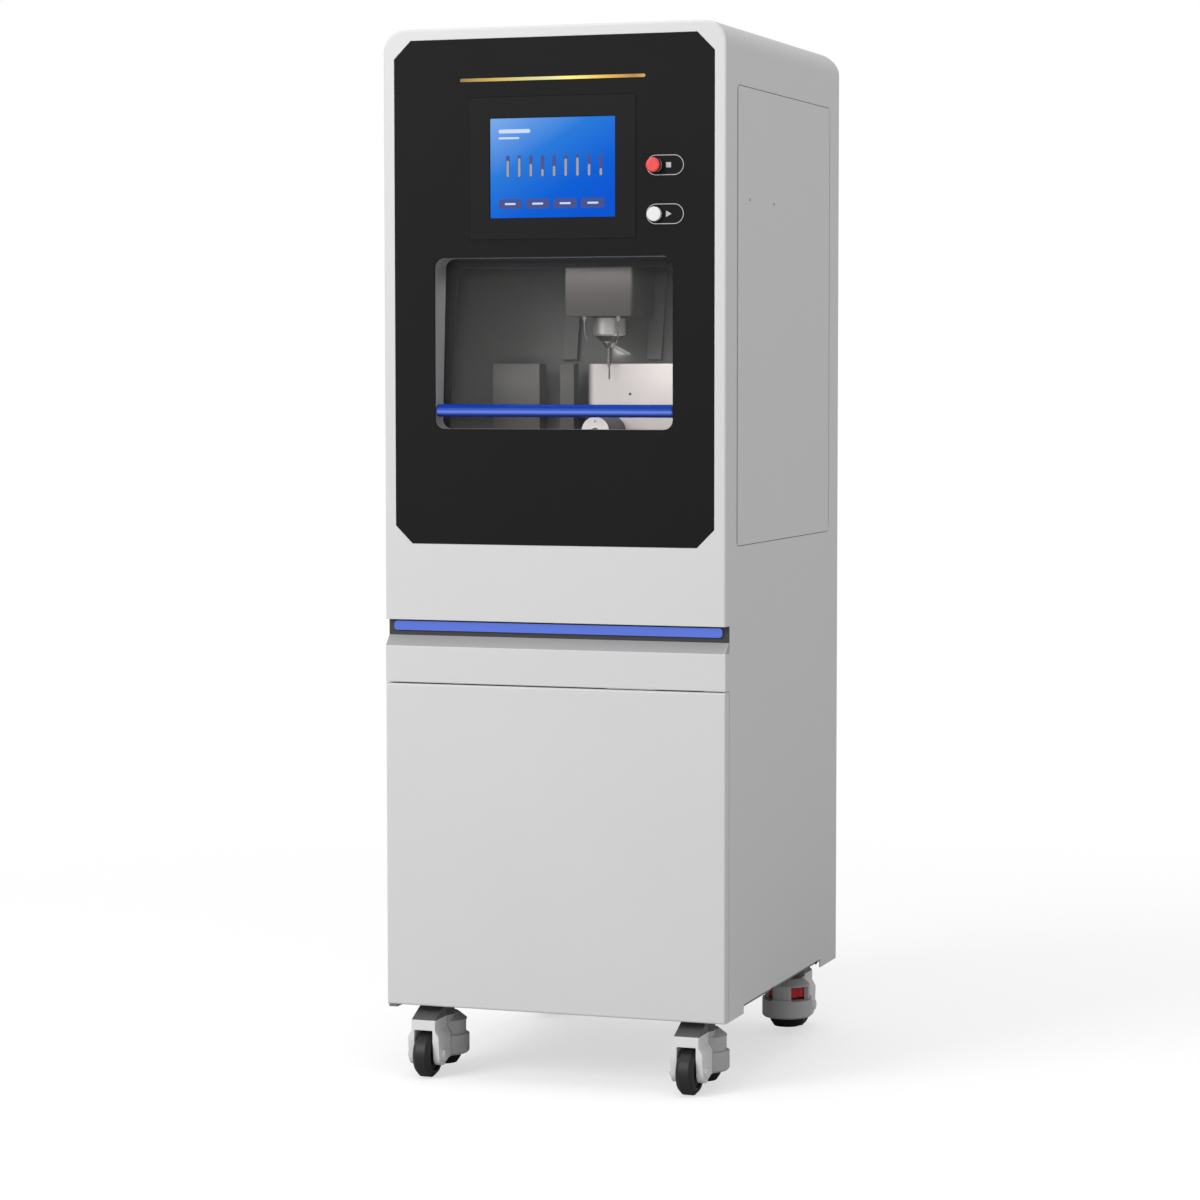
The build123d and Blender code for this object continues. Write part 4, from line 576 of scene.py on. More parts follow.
# Near-black frame at the chamber mouth: its darkness is painted shade
MOUTH_PAINTED_SHADE = coated("mouth_paint", (0.068, 0.068, 0.068), 0.6, grain=1200, depth=0.05, specular=0.1)
SOCKET_GREY = coated("socket_grey", (0.56, 0.56, 0.56), 0.35, depth=0.03)
REVEAL_GREY = coated("reveal_grey", (0.42, 0.42, 0.42), 0.5, depth=0.08)
BLUE_BAR_PAINTED_REFLECTION = bar_painted_reflection()
DARK_RAIL = coated("dark_rail", (0.03, 0.03, 0.03), 0.5)
FRAME_PAINT = coated("frame_paint", (0.22, 0.22, 0.23), 0.5, grain=500, depth=0.2)
LINER_PAINT = coated("chamber_paint", (0.098, 0.0971, 0.0938), 0.5, grain=700, depth=0.08, drift=0.1)
HEAD_PAINT = coated("head_paint", (0.076, 0.067, 0.065), 0.5, grain=1000, depth=0.06)
MAGAZINE_PAINT = coated("magazine_paint", (0.070, 0.0665, 0.0615), 0.5, grain=1000, depth=0.08)
CREAM_PAINT = coated("cream_paint", (0.80, 0.735, 0.71), 0.45, grain=1000, depth=0.05)
CONTROL_PAINT = coated("control_paint", (0.42, 0.42, 0.43), 0.5, depth=0.15)
BLACK_PLASTIC = coated("black_plastic", (0.014, 0.014, 0.014), 0.5, grain=1200, depth=0.2)
DUCT_PLASTIC = coated("duct_plastic", (0.05, 0.05, 0.055), 0.55, grain=600, depth=0.2)
NYLON = coated("black_nylon", (0.016, 0.016, 0.017), 0.48, grain=700, depth=0.25, edge=0.0015)
RUBBER = coated("foot_rubber", (0.012, 0.012, 0.012), 0.7, grain=800, depth=0.3, specular=0.3,
                edge=0.0012)
RED_PLASTIC = coated("red_plastic", (0.62, 0.012, 0.016), 0.4, grain=900, depth=0.1, edge=0.0008)
ZINC = machined("zinc_plate", (0.26, 0.26, 0.255), 0.42, marks=(300.0, 300.0, 300.0), depth=0.12)
GROUND_STEEL = machined("ground_steel", (0.72, 0.71, 0.70), 0.2, marks=(400.0, 400.0, 3000.0))
TURNED_STEEL = spindle_finish()
HOUSING_PAINTED_SHADE = housing_painted_shade()
CHUCK_FACE = chuck_finish()
CARBIDE = machined("carbide", (0.36, 0.33, 0.31), 0.3)
MILLED_ALUMINIUM = machined("milled_aluminium", (0.62, 0.62, 0.63), 0.34, marks=(900.0, 60.0, 60.0))
DARK_SCREW = machined("black_oxide", (0.05, 0.05, 0.05), 0.4)
PALE_SCREW = coated("painted_screw", (0.62, 0.62, 0.62), 0.4, depth=0.03, edge=0.0003)
DISPLAY = lit_display()
BLUE_GLOW = plain_glow("blue_glow", (0.095, 0.175, 0.70), 0.86, spill=0.12)
PANE = clear_pane()
GOLD_PAINTED_HIGHLIGHT = anodised_gold()
RED_CAP = capped_button("red_cap", (0.97, 0.07, 0.065), FRONT - 11.5 * MM)
WHITE_CAP = capped_button("white_cap", (0.94, 0.94, 0.94), FRONT + 1.0 * MM)

by_slot = {
    "cabinet_paint": WHITE_PAINT,
    "fascia_black": BLACK_PANEL,
    "bezel_black": BLACK_BEZEL,
    "display": DISPLAY,
    "accent_gold": GOLD_PAINTED_HIGHLIGHT,
    "socket_grey": SOCKET_GREY,
    "button_red": RED_CAP,
    "button_white": WHITE_CAP,
    "reveal_grey": REVEAL_GREY,
    "clear_pane": PANE,
    "handle_blue": BLUE_BAR_PAINTED_REFLECTION,
    "rail_dark": DARK_RAIL,
    "strip_blue": BLUE_GLOW,
    "frame_grey": FRAME_PAINT,
    "liner_grey": LINER_PAINT,
    "head_taupe": HEAD_PAINT,
    "spindle_steel": TURNED_STEEL,
    "polished_steel": GROUND_STEEL,
    "tool_carbide": CARBIDE,
    "work_cream": CREAM_PAINT,
    "magazine_grey": MAGAZINE_PAINT,
    "carriage_aluminium": MILLED_ALUMINIUM,
    "motor_black": BLACK_PLASTIC,
    "control_grey": CONTROL_PAINT,
    "duct_grey": DUCT_PLASTIC,
    "plate_zinc": ZINC,
    "wheel_nylon": NYLON,
    "thumbwheel_red": RED_PLASTIC,
    "pad_rubber": RUBBER,
    "mouth_black": MOUTH_PAINTED_SHADE,
}
by_node = {
    "header_panel": HEADER_PAINTED_SHADE,
    "service_panel_right": PANEL_PAINTED_SEAM_SHADE,
    "service_panel_left": PANEL_PAINTED_SEAM_SHADE,
    "rotary_housing": HOUSING_PAINTED_SHADE,
    "rotary_chuck": CHUCK_FACE,
}
for place in CASTERS:
    by_node["caster_" + place + "_housing"] = caster_casting_painted_shade(place)
for entry in frame["record"]["subparts"]:
    node = nodes[entry["node"]]
    node.data.materials.clear()
    finish = by_node.get(entry["node"]) or by_slot[entry["material_slot"]]
    node.data.materials.append(finish)


# Helpers for pieces


def as_object(mesh, name, material, body):
    """Puts a finished mesh in the scene, on its body and with its finish."""
    piece = bpy.data.objects.new(name, mesh)
    bpy.context.scene.collection.objects.link(piece)
    if material is not None:
        mesh.materials.clear()
        mesh.materials.append(material)
    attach(piece, body)
    return piece


def keep_mesh(builder, name, material, body):
    """Keeps a bmesh as a piece, with its doubles merged and its faces turned outwards."""
    bmesh.ops.remove_doubles(builder, verts=builder.verts, dist=1e-6)
    bmesh.ops.recalc_face_normals(builder, faces=builder.faces)
    mesh = bpy.data.meshes.new(name)
    builder.to_mesh(mesh)
    builder.free()
    return as_object(mesh, name, material, body)


def geometry_tree(name, inputs):
    """A Geometry Nodes tree with named inputs and a geometry output."""
    tree = bpy.data.node_groups.new(name, "GeometryNodeTree")
    tree.is_modifier = True
    tree.interface.new_socket("Geometry", in_out="OUTPUT", socket_type="NodeSocketGeometry")
    for label, kind, value in inputs:
        socket = tree.interface.new_socket(label, in_out="INPUT", socket_type=kind)
        if value is not None:
            socket.default_value = value
    tree.nodes.new("NodeGroupInput").name = "in"
    tree.nodes.new("NodeGroupOutput").name = "out"
    return tree


def end_tree(tree, geometry):
    """Ends a tree in plain mesh with its material."""
    real = add(tree, "GeometryNodeRealizeInstances", {"Geometry": geometry}).outputs[0]
    given = tree.nodes["in"].outputs
    coloured = add(
        tree, "GeometryNodeSetMaterial", {"Geometry": real, "Material": given["Finish"]}
    ).outputs[0]
    tree.links.new(coloured, tree.nodes["out"].inputs["Geometry"])


def grow(tree, name, place, body, slot, **values):
    """Runs a tree with its inputs and keeps the result as a plain mesh on a body."""
    carrier = bpy.data.objects.new(name + "_seed", bpy.data.meshes.new(name + "_seed"))
    bpy.context.scene.collection.objects.link(carrier)
    modifier = carrier.modifiers.new("grow", "NODES")
    modifier.node_group = tree
    for item in tree.interface.items_tree:
        key = item.name.replace(" ", "_")
        if item.item_type == "SOCKET" and item.in_out == "INPUT" and key in values:
            modifier[item.identifier] = values[key]
    evaluated = carrier.evaluated_get(bpy.context.evaluated_depsgraph_get())
    mesh = bpy.data.meshes.new_from_object(evaluated)
    bpy.data.objects.remove(carrier)
    mesh.name = name
    mesh.transform(place)
    return as_object(mesh, name, None, body)


def turned_to(origin, across, normal):
    """Matrix that puts local X along across and local Z along normal, at origin."""
    x = Vector(across).normalized()
    z = Vector(normal).normalized()
    y = z.cross(x)
    matrix = Matrix((x, y, z)).transposed().to_4x4()
    matrix.translation = origin
    return matrix


def cylinder(tree, sides, radius, depth):
    """A cylinder about local Z with its middle at the origin."""
    return add(
        tree, "GeometryNodeMeshCylinder", {"Vertices": sides, "Radius": radius, "Depth": depth}
    ).outputs["Mesh"]


def raised(tree, geometry, height):
    """Geometry lifted along local Z."""
    lift = add(tree, "ShaderNodeCombineXYZ", {"Z": height}).outputs[0]
    return add(
        tree, "GeometryNodeTransform", {"Geometry": geometry, "Translation": lift}
    ).outputs[0]


def put_on(tree, points, piece):
    """A copy of a piece on every point."""
    return add(
        tree, "GeometryNodeInstanceOnPoints", {"Points": points, "Instance": piece}
    ).outputs[0]


def screw_head(tree, radius, height, recess):
    """Geometry of one pan head with a hexagon recess, standing on the local XY plane."""
    half = sum_of(tree, height, 0.5, "MULTIPLY")
    cut = add(tree, "GeometryNodeMeshBoolean", operation="DIFFERENCE")
    tree.links.new(cylinder(tree, 24, radius, height), cut.inputs["Mesh 1"])
    tree.links.new(raised(tree, cylinder(tree, 6, recess, height), half), cut.inputs["Mesh 2"])
    return raised(tree, cut.outputs["Mesh"], half)


def edge_screws_tree():
    """Screws at even steps round a rectangle."""
    tree = geometry_tree(
        "edge_screws",
        [
            ("Width", "NodeSocketFloat", 0.3),
            ("Height", "NodeSocketFloat", 0.3),
            ("Count", "NodeSocketInt", 12),
            ("Head Radius", "NodeSocketFloat", 0.003),
            ("Head Height", "NodeSocketFloat", 0.0015),
            ("Recess Radius", "NodeSocketFloat", 0.0016),
            ("Finish", "NodeSocketMaterial", None),
        ],
    )
    given = tree.nodes["in"].outputs
    outline = add(
        tree,
        "GeometryNodeCurvePrimitiveQuadrilateral",
        {"Width": given["Width"], "Height": given["Height"]},
    ).outputs[0]
    spots = add(
        tree, "GeometryNodeCurveToPoints", {"Curve": outline, "Count": given["Count"]}
    ).outputs["Points"]
    head = screw_head(tree, given["Head Radius"], given["Head Height"], given["Recess Radius"])
    end_tree(tree, put_on(tree, spots, head))
    return tree


def bolt_grid_tree():
    """Hexagon bolts with washers on a rectangular grid."""
    tree = geometry_tree(
        "bolt_grid",
        [
            ("Spacing X", "NodeSocketFloat", 0.07),
            ("Spacing Y", "NodeSocketFloat", 0.07),
            ("Across X", "NodeSocketInt", 2),
            ("Across Y", "NodeSocketInt", 2),
            ("Head Radius", "NodeSocketFloat", 0.0072),
            ("Head Height", "NodeSocketFloat", 0.0053),
            ("Finish", "NodeSocketMaterial", None),
        ],
    )
    given = tree.nodes["in"].outputs
    spots = add(
        tree,
        "GeometryNodeMeshGrid",
        {
            "Size X": given["Spacing X"],
            "Size Y": given["Spacing Y"],
            "Vertices X": given["Across X"],
            "Vertices Y": given["Across Y"],
        },
    ).outputs["Mesh"]
    washer_height = sum_of(tree, given["Head Height"], 0.25, "MULTIPLY")
    washer_radius = sum_of(tree, given["Head Radius"], 1.2, "MULTIPLY")
    washer_middle = sum_of(tree, washer_height, 0.5, "MULTIPLY")
    washer = raised(tree, cylinder(tree, 24, washer_radius, washer_height), washer_middle)
    head_middle = sum_of(tree, given["Head Height"], 0.75, "MULTIPLY")
    hexagon = cylinder(tree, 6, given["Head Radius"], given["Head Height"])
    head = raised(tree, hexagon, head_middle)
    bolt = add(tree, "GeometryNodeJoinGeometry")
    tree.links.new(washer, bolt.inputs[0])
    tree.links.new(head, bolt.inputs[0])
    end_tree(tree, put_on(tree, spots, bolt.outputs[0]))
    return tree


def thread_tree():
    """A rounded thread that winds round a rod along local Z."""
    tree = geometry_tree(
        "screw_thread",
        [
            ("Rod Radius", "NodeSocketFloat", 0.008),
            ("Length", "NodeSocketFloat", 0.3),
            ("Pitch", "NodeSocketFloat", 0.005),
            ("Ridge Radius", "NodeSocketFloat", 0.0012),
            ("Finish", "NodeSocketMaterial", None),
        ],
    )
    given = tree.nodes["in"].outputs
    turns = sum_of(tree, given["Length"], given["Pitch"], "DIVIDE")
    helix = add(
        tree,
        "GeometryNodeCurveSpiral",
        {
            "Resolution": 24,
            "Rotations": turns,
            "Start Radius": given["Rod Radius"],
            "End Radius": given["Rod Radius"],
            "Height": given["Length"],
        },
    ).outputs[0]
    ridge = add(
        tree,
        "GeometryNodeCurvePrimitiveCircle",
        {"Resolution": 6, "Radius": given["Ridge Radius"]},
    ).outputs[0]
    winding = add(
        tree,
        "GeometryNodeCurveToMesh",
        {"Curve": helix, "Profile Curve": ridge, "Fill Caps": True},
    ).outputs[0]
    end_tree(tree, winding)
    return tree


def wire_mesh_tree():
    """Crossing wires of a filter screen on the local XY plane."""
    tree = geometry_tree(
        "wire_mesh",
        [
            ("Width", "NodeSocketFloat", 0.2),
            ("Height", "NodeSocketFloat", 0.2),
            ("Across", "NodeSocketInt", 40),
            ("Up", "NodeSocketInt", 40),
            ("Wire Radius", "NodeSocketFloat", 0.0004),
            ("Finish", "NodeSocketMaterial", None),
        ],
    )
    given = tree.nodes["in"].outputs
    both = add(tree, "GeometryNodeJoinGeometry")
    for count, span, length, quarter in (
        ("Across", "Width", "Height", True),
        ("Up", "Height", "Width", False),
    ):
        half = sum_of(tree, given[span], -0.5, "MULTIPLY")
        other = sum_of(tree, given[span], 0.5, "MULTIPLY")
        axis = "X" if quarter else "Y"
        start = add(tree, "ShaderNodeCombineXYZ", {axis: half}).outputs[0]
        end = add(tree, "ShaderNodeCombineXYZ", {axis: other}).outputs[0]
        line = add(
            tree,
            "GeometryNodeMeshLine",
            {"Count": given[count], "Start Location": start, "Offset": end},
            mode="END_POINTS",
        ).outputs[0]
        wire = cylinder(tree, 5, given["Wire Radius"], given[length])
        quarter_turn = (math.pi / 2, 0, 0) if quarter else (0, math.pi / 2, 0)
        laid = add(
            tree, "GeometryNodeTransform", {"Geometry": wire, "Rotation": quarter_turn}
        ).outputs[0]
        tree.links.new(put_on(tree, line, laid), both.inputs[0])
    end_tree(tree, both.outputs[0])
    return tree


EDGE_SCREWS = edge_screws_tree()
BOLT_GRID = bolt_grid_tree()
THREAD = thread_tree()
WIRE_MESH = wire_mesh_tree()


def rounded_outline(left, right, low, high, corner):
    """Points round a rectangle with rounded corners."""
    steps = 6
    outline = []
    for x, z, start in (
        (right - corner, high - corner, 0.0),
        (left + corner, high - corner, 0.5 * math.pi),
        (left + corner, low + corner, math.pi),
        (right - corner, low + corner, 1.5 * math.pi),
    ):
        for step in range(steps + 1):
            angle = start + 0.5 * math.pi * step / steps
            outline.append((x + corner * math.cos(angle), z + corner * math.sin(angle)))
    return outline


def rounded_bar(builder, low, high, corner):
    """Adds a flat plate with rounded corners on the XZ plane, from its low to its high corner."""
    x0, y0, z0 = low
    x1, y1, z1 = high
    corner = min(corner, (x1 - x0) / 2, (z1 - z0) / 2)
    outline = rounded_outline(x0, x1, z0, z1, corner)
    front = [builder.verts.new((x, y0, z)) for x, z in outline]
    rear = [builder.verts.new((x, y1, z)) for x, z in outline]
    builder.faces.new(front)
    builder.faces.new(list(reversed(rear)))
    count = len(outline)
    for i in range(count):
        j = (i + 1) % count
        builder.faces.new((front[j], front[i], rear[i], rear[j]))


def tube_along(points, radius, name, material, body):
    """A smooth round tube through points, as a plain mesh."""
    curve = bpy.data.curves.new(name, "CURVE")
    curve.dimensions = "3D"
    curve.bevel_depth = radius
    curve.bevel_resolution = 4
    curve.use_fill_caps = True
    curve.resolution_u = 12
    spline = curve.splines.new("NURBS")
    spline.points.add(len(points) - 1)
    for target, point in zip(spline.points, points):
        target.co = (point[0], point[1], point[2], 1.0)
    spline.order_u = 3
    spline.use_endpoint_u = True
    carrier = bpy.data.objects.new(name + "_path", curve)
    bpy.context.scene.collection.objects.link(carrier)
    evaluated = carrier.evaluated_get(bpy.context.evaluated_depsgraph_get())
    mesh = bpy.data.meshes.new_from_object(evaluated)
    bpy.data.objects.remove(carrier)
    builder = bmesh.new()
    builder.from_mesh(mesh)
    for face in builder.faces:
        face.smooth = True
    return keep_mesh(builder, name, material, body)


def turned_piece(profile, centre, axis, name, material, body, segments=32):
    """A lathe-turned piece: profile points are (radius, distance along the axis) in millimetres."""
    builder = bmesh.new()
    direction = Vector(axis).normalized()
    side = direction.orthogonal().normalized()
    other = direction.cross(side)
    rings = []
    for radius, along in profile:
        if radius == 0:
            rings.append([builder.verts.new(centre + direction * along * MM)])
            continue
        ring = []
        for step in range(segments):
            angle = 2 * math.pi * step / segments
            out = side * math.cos(angle) + other * math.sin(angle)
            ring.append(builder.verts.new(centre + direction * along * MM + out * radius * MM))
        rings.append(ring)
    for first, second in zip(rings, rings[1:]):
        for step in range(segments):
            after = (step + 1) % segments
            corners = [first[step % len(first)], first[after % len(first)]]
            corners += [second[after % len(second)], second[step % len(second)]]
            unique = list(dict.fromkeys(corners))
            if len(unique) > 2:
                builder.faces.new(unique)
    for end in (rings[0], rings[-1]):
        if len(end) > 2:
            builder.faces.new(end)
    return keep_mesh(builder, name, material, body)


# Picture on the display


def display_picture():
    """Generic screen: a row of level gauges, a title bar and a row of keys."""
    face = FRONT + 1.0 * MM
    middle_x = (screen_low[0] + screen_high[0]) / 2
    left = middle_x - PICTURE_WIDTH / 2
    bottom = (screen_low[2] + screen_high[2]) / 2 - PICTURE_HEIGHT / 2
    tint = {
        "pale": plain_glow("picture_pale", (0.55, 0.66, 0.92), 0.9),
        "deep": plain_glow("picture_deep", (0.01, 0.03, 0.22), 0.9),
        "grey": plain_glow("picture_grey", (0.30, 0.34, 0.42), 0.8),
    }
    # Each shape: its left edge, lower edge, width, height and corner radius in millimetres
    shapes = {"pale": [], "deep": [], "grey": []}
    for i in range(9):
        x = 26 + i * 19
        level = 14 + 9 * math.sin(1.3 * i + 0.6)
        shapes["deep"].append((x, 62, 6, 34, 3))
        shapes["grey"].append((x + 1, 63, 4, level + 6, 2))
    shapes["pale"].append((14, 130, 52, 6, 3))
    shapes["pale"].append((14, 121, 34, 3, 1.5))
    for i in range(4):
        shapes["deep"].append((14 + i * 45, 14, 38, 15, 3))
        shapes["pale"].append((24 + i * 45, 20, 18, 3, 1.5))
    for shade, boxes in shapes.items():
        builder = bmesh.new()
        lift = 0.35 if shade == "deep" else 0.55
        for x, z, width, height, corner in boxes:
            rounded_bar(
                builder,
                (left + x * MM, face - lift * MM, bottom + z * MM),
                (left + (x + width) * MM, face, bottom + (z + height) * MM),
                corner * MM,
            )
        name = "display_picture_" + shade
        keep_mesh(builder, name, tint[shade], "cabinet")


def button_signs():
    """Plain signs beside the buttons: a square for stop and a triangle for start."""
    builder = bmesh.new()
    square = at(SIGN_X, 0, STOP_HEIGHT)
    half = 4.0 * MM
    rounded_bar(
        builder,
        (square.x - half, FRONT - SIGN_LIFT, square.z - half),
        (square.x + half, FRONT, square.z + half),
        0.8 * MM,
    )
    keep_mesh(builder, "stop_sign", SOCKET_GREY, "cabinet")
    builder = bmesh.new()
    tip = at(SIGN_X, 0, START_HEIGHT)
    corners = [(tip.x + x * MM, tip.z + z * MM) for x, z in ((-4, -5), (-4, 5), (5, 0))]
    front = [builder.verts.new((x, FRONT - SIGN_LIFT, z)) for x, z in corners]
    rear = [builder.verts.new((x, FRONT, z)) for x, z in corners]
    builder.faces.new(front)
    builder.faces.new(list(reversed(rear)))
    for i in range(3):
        j = (i + 1) % 3
        builder.faces.new((front[i], front[j], rear[j], rear[i]))
    keep_mesh(builder, "start_sign", SOCKET_GREY, "cabinet")


# Fittings of the cabinet


def panel_fasteners():
    """Screws round the rear panels, locks and plugs in the sides, and bolts of the castor plates."""
    for name, node, count in (
        ("rear_screws_upper", "rear_panel_upper", 14),
        ("rear_screws_lower", "rear_panel_lower", 10),
    ):
        low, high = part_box(node)
        centre = Vector(((low[0] + high[0]) / 2, REAR, (low[2] + high[2]) / 2))
        grow(
            EDGE_SCREWS,
            name,
            turned_to(centre, (-1, 0, 0), (0, 1, 0)),
            "cabinet",
            "cabinet_paint",
            Width=(high[0] - low[0]) - 2 * SCREW_MARGIN,
            Height=(high[2] - low[2]) - 2 * SCREW_MARGIN,
            Count=count,
            Head_Radius=4.2 * MM,
            Head_Height=1.6 * MM,
            Recess_Radius=2.0 * MM,
            Finish=PALE_SCREW,
        )
    for hand, name in ((1, "right"), (-1, "left")):
        for spot, (depth, height) in enumerate(LOCKS):
            turned_piece(
                [(0, 0.15), (1.6, 0.15), (2.4, 0.05), (2.4, -0.5), (0, -0.5)],
                at(hand * SIDE / MM, depth, height),
                (hand, 0, 0),
                "panel_lock_%s_%d" % (name, spot + 1),
                DARK_SCREW,
                "cabinet",
                segments=20,
            )
        for spot, (depth, height) in enumerate(SKIRT_PLUGS):
            turned_piece(
                [(0, 2.2), (1.8, 2.0), (3.4, 1.0), (4.2, 0), (4.2, -1.0), (0, -1.0)],
                at(hand * (SIDE / MM - 2), depth, height),
                (hand, 0, 0),
                "skirt_plug_%s_%d" % (name, spot + 1),
                BLACK_PLASTIC,
                "cabinet",
                segments=20,
            )
    for place, (hand, depth) in CASTERS.items():
        grow(
            BOLT_GRID,
            "caster_bolts_" + place,
            turned_to(at(hand * CASTER_X, depth, 5), (1, 0, 0), (0, 0, -1)),
            "cabinet",
            "plate_zinc",
            Spacing_X=70 * MM,
            Spacing_Y=70 * MM,
            Across_X=2,
            Across_Y=2,
            Head_Radius=7.0 * MM,
            Head_Height=5.0 * MM,
            Finish=ZINC,
        )


def panel_seals():
    """Thin dark seals in the gaps round the service panels."""
    for name, outwards in (("right", 1), ("left", -1)):
        low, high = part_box("service_panel_" + name)
        outer = PANEL_LIP + 0.05 * MM
        builder = bmesh.new()
        rings = []
        for margin in (outer, outer + 0.9 * MM):
            corner = PANEL_CORNER - margin + PANEL_LIP
            outline = rounded_outline(
                low[1] + margin, high[1] - margin, low[2] + margin, high[2] - margin, corner
            )
            for sink in (0.6, 2.0):
                x = outwards * (SIDE - sink * MM)
                rings.append([builder.verts.new((x, y, z)) for y, z in outline])
        order = (rings[0], rings[2], rings[3], rings[1], rings[0])
        for first, second in zip(order, order[1:]):
            for i in range(len(first)):
                j = (i + 1) % len(first)
                builder.faces.new((first[i], first[j], second[j], second[i]))
        keep_mesh(builder, "panel_seal_" + name, BLACK_PLASTIC, "cabinet")


def vent_filters():
    """Wire filter screens behind the slots of both rear panels."""
    for name, node in (("upper", "rear_panel_upper"), ("lower", "rear_panel_lower")):
        centre = Vector((0, REAR - 6 * MM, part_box(node)[1][2] - VENT_MIDDLE))
        for hand in (-1, 1):
            grow(
                WIRE_MESH,
                "vent_filter_%s_%s" % (name, "left" if hand < 0 else "right"),
                turned_to(centre + Vector((hand * VENT_SPREAD, 0, 0)), (-1, 0, 0), (0, 1, 0)),
                "cabinet",
                "plate_zinc",
                Width=110 * MM,
                Height=140 * MM,
                Across=37,
                Up=47,
                Wire_Radius=0.5 * MM,
                Finish=DARK_SCREW,
            )


def power_pins():
    """Three flat pins in the power inlet."""
    builder = bmesh.new()
    centre = at(*INLET)
    for x, z in ((-7, 2), (7, 2), (0, -3)):
        rounded_bar(
            builder,
            (centre.x + (x - 1) * MM, centre.y - 4 * MM, centre.z + (z - 2.2) * MM),
            (centre.x + (x + 1) * MM, centre.y + 6 * MM, centre.z + (z + 2.2) * MM),
            0.4 * MM,
        )
    keep_mesh(builder, "power_pins", GROUND_STEEL, "cabinet")


# Fittings of the milling machine


def spindle_fittings():
    """Two air nozzles beside the spindle nose, and the dark ring round it."""
    axis = at(SPINDLE_X, SPINDLE_DEPTH, 0)
    for hand, name in ((-1, "left"), (1, "right")):
        top = at(SPINDLE_X + hand * 28, 115, HEAD_BOTTOM)
        turned_piece(
            [(0, 0.5), (3.2, 0.5), (3.2, -3.5), (2.2, -5.5), (1.4, -5.5), (1.4, -8), (0, -8)],
            top,
            (0, 0, 1),
            "air_fitting_" + name,
            CREAM_PAINT,
            "height_axis",
            segments=20,
        )
        toward = Vector((axis.x, axis.y, 0)) - Vector((top.x, top.y, 0))
        bends = ((0, 6), (0, 16), (0, 26), (0.10, 35), (0.22, 42))
        path = [top + toward * share - Vector((0, 0, drop * MM)) for share, drop in bends]
        tube_along(path, 1.0 * MM, "air_nozzle_" + name, GROUND_STEEL, "height_axis")
    turned_piece(
        [(26.3, 0), (27.4, 0), (27.4, -2.2), (26.3, -2.2), (26.3, 0)],
        at(SPINDLE_X, SPINDLE_DEPTH, HEAD_BOTTOM),
        (0, 0, 1),
        "nose_ring",
        DARK_SCREW,
        "height_axis",
        segments=48,
    )


def screw_threads():
    """Threads on both ball screws."""
    for name, node, body in (
        ("cross_thread", "x_screw", "cross_screw"),
        ("height_thread", "z_screw", "height_screw"),
    ):
        low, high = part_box(node)
        size = [high[i] - low[i] for i in range(3)]
        along = size.index(max(size))
        radius = min(size) / 2
        direction = [0, 0, 0]
        direction[along] = 1
        start = Vector([(low[i] + high[i]) / 2 for i in range(3)])
        start[along] = low[along] + THREAD_MARGIN
        grow(
            THREAD,
            name,
            turned_to(start, (0, 1, 0), direction),
            body,
            "polished_steel",
            Rod_Radius=radius - THREAD_RIDGE,
            Length=size[along] - 2 * THREAD_MARGIN,
            Pitch=5 * MM,
            Ridge_Radius=THREAD_RIDGE,
            Finish=GROUND_STEEL,
        )


def work_unit_details():
    """Small plug in the front of the work unit."""
    turned_piece(
        [(0, 0.4), (1.6, 0.3), (2.2, 0), (2.2, -0.4), (0, -0.4)],
        at(*WORK_PLUG),
        (0, -1, 0),
        "work_plug",
        DARK_SCREW,
        "work_unit",
        segments=16,
    )


display_picture()
button_signs()
panel_fasteners()
panel_seals()
vent_filters()
power_pins()
spindle_fittings()
screw_threads()
work_unit_details()


# Studio


def studio_floor():
    """Pale round floor that fades out towards its rim."""
    builder = bmesh.new()
    bmesh.ops.create_circle(builder, cap_ends=True, segments=96, radius=4.0)
    mesh = bpy.data.meshes.new("studio_floor")
    builder.to_mesh(mesh)
    builder.free()
    floor = bpy.data.objects.new("studio_floor", mesh)
    bpy.context.scene.collection.objects.link(floor)
    material, shader = new_material("pale_floor")
    tree = material.node_tree
    reach = add(
        tree, "ShaderNodeVectorMath", {0: object_place(tree)}, operation="LENGTH"
    ).outputs["Value"]
    fade = add(
        tree,
        "ShaderNodeMapRange",
        {"Value": reach, 1: 0.7, 2: 3.0, 3: 1.0, 4: 0.0},
        interpolation_type="SMOOTHSTEP",
    ).outputs[0]
    tree.links.new(fade, shader.inputs["Alpha"])
    seen = add(tree, "ShaderNodeLightPath").outputs["Is Camera Ray"]
    lift = sum_of(tree, seen, 0.60, "MULTIPLY")
    tree.links.new(lift, shader.inputs["Emission Strength"])
    shader.inputs["Base Color"].default_value = (0.56, 0.56, 0.56, 1)
    shader.inputs["Roughness"].default_value = 0.8
    shader.inputs["Specular IOR Level"].default_value = 0.1
    shader.inputs["Emission Color"].default_value = (1, 1, 1, 1)
    mesh.materials.append(material)


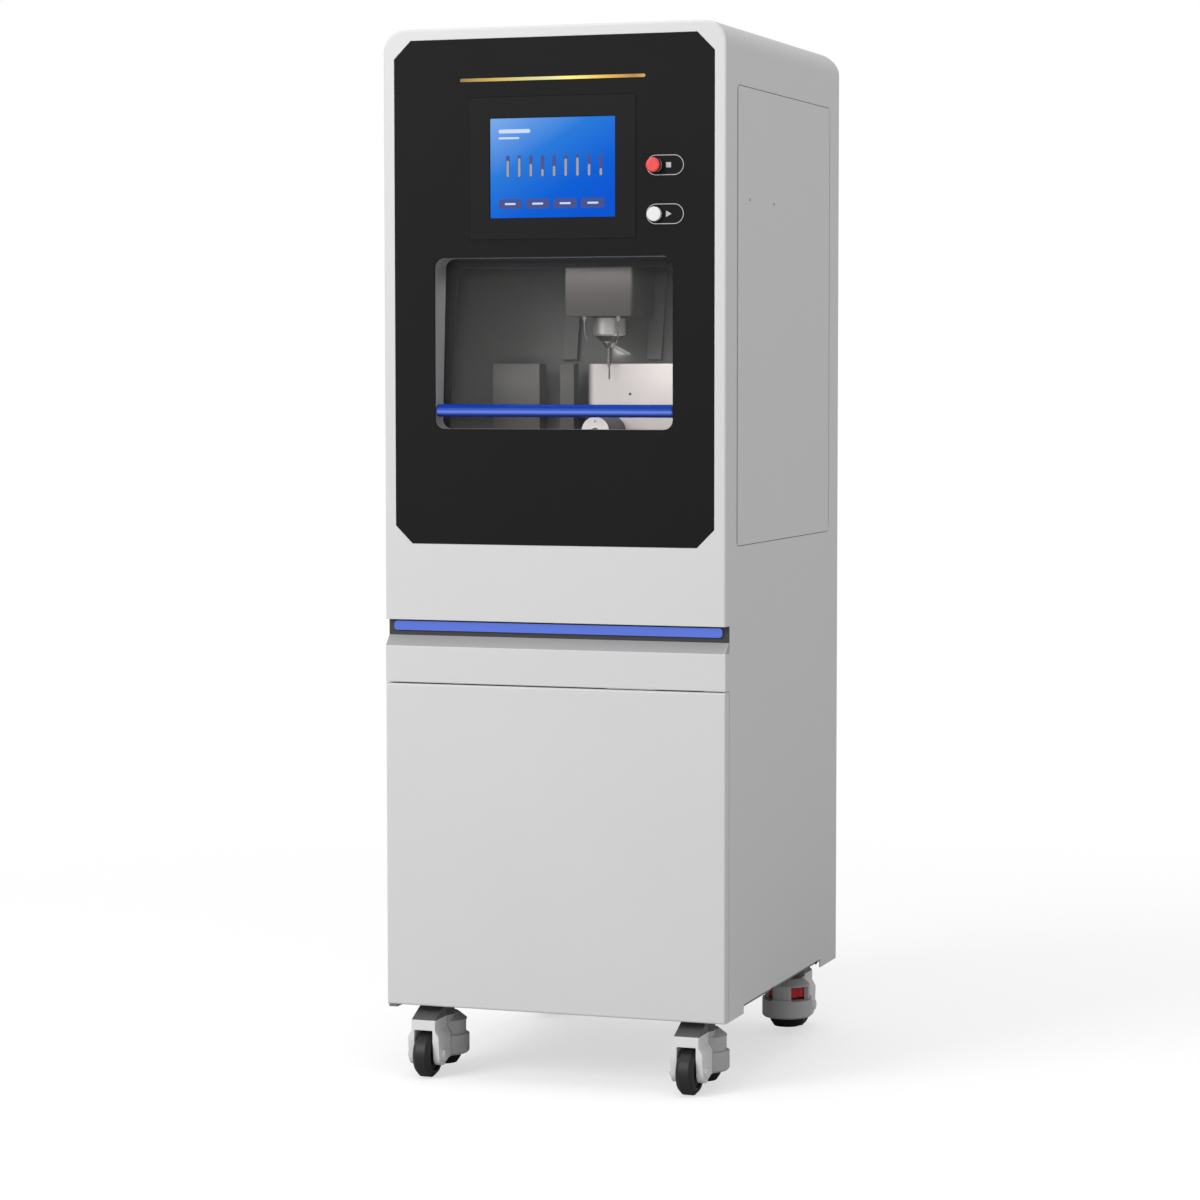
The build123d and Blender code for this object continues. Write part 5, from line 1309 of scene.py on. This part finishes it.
def studio_world():
    """White surroundings that light the machine more gently than they look."""
    world = bpy.data.worlds.new("studio")
    bpy.context.scene.world = world
    world.use_nodes = True
    tree = world.node_tree
    tree.nodes.clear()
    seen = add(tree, "ShaderNodeBackground", {"Color": (1, 1, 1, 1), "Strength": 1.0})
    lighting = add(tree, "ShaderNodeBackground", {"Color": (1, 1, 1, 1), "Strength": 0.49})
    ray = add(tree, "ShaderNodeLightPath")
    mix = add(
        tree,
        "ShaderNodeMixShader",
        {0: ray.outputs["Is Camera Ray"], 1: lighting.outputs[0], 2: seen.outputs[0]},
    )
    out = add(tree, "ShaderNodeOutputWorld")
    tree.links.new(mix.outputs[0], out.inputs["Surface"])


def area_light(name, place, target, width, height, power):
    """A soft rectangular light that looks at a point."""
    lamp = bpy.data.lights.new(name, "AREA")
    lamp.shape = "RECTANGLE"
    lamp.size = width
    lamp.size_y = height
    lamp.energy = power
    holder = bpy.data.objects.new(name, lamp)
    bpy.context.scene.collection.objects.link(holder)
    holder.location = place
    holder.rotation_euler = (Vector(target) - Vector(place)).to_track_quat("-Z", "Y").to_euler()
    return holder


def studio_camera():
    """Camera at the photograph's place: right of the front, a little above the window."""
    camera = bpy.data.cameras.new("camera")
    camera.sensor_width = 36.0
    camera.lens = 105.18
    holder = bpy.data.objects.new("camera", camera)
    bpy.context.scene.collection.objects.link(holder)
    holder.location = (1.8372, -5.4200, 1.1241)
    tilt_down = math.radians(3.807)
    roll = math.radians(-0.036)
    turn = math.radians(19.048)
    holder.rotation_euler = (
        Matrix.Rotation(turn, 4, "Z")
        @ Matrix.Rotation(math.pi / 2 - tilt_down, 4, "X")
        @ Matrix.Rotation(roll, 4, "Z")
    ).to_euler()
    bpy.context.scene.camera = holder


studio_floor()
studio_world()
studio_camera()
# Each lamp: its name, place, the point it looks at, width and height in metres, power in watts
area_light("key_light", (-2.6, -4.6, 3.2), (0, -0.3, 1.2), 2.4, 2.4, 136)
area_light("top_light", (0.2, -0.6, 3.6), (0, 0, 1.2), 2.0, 2.0, 16)
area_light("chamber_light", at(0, 72, 1160), at(0, 130, 900), 0.34, 0.02, 0.20)
# This one lights the work unit and stays out of reflections
work_light = area_light("work_light", at(150, 70, 1035), at(105, 165, 940), 0.14, 0.02, 0.12)
work_light.visible_glossy = False
area_light("floor_light", at(-110, 70, 1000), at(-110, 150, 900), 0.16, 0.02, 0.09)
area_light("sill_light", at(0, 62, 912), at(0, 165, 935), 0.34, 0.01, 0.04)
bpy.context.scene.view_settings.view_transform = "Standard"
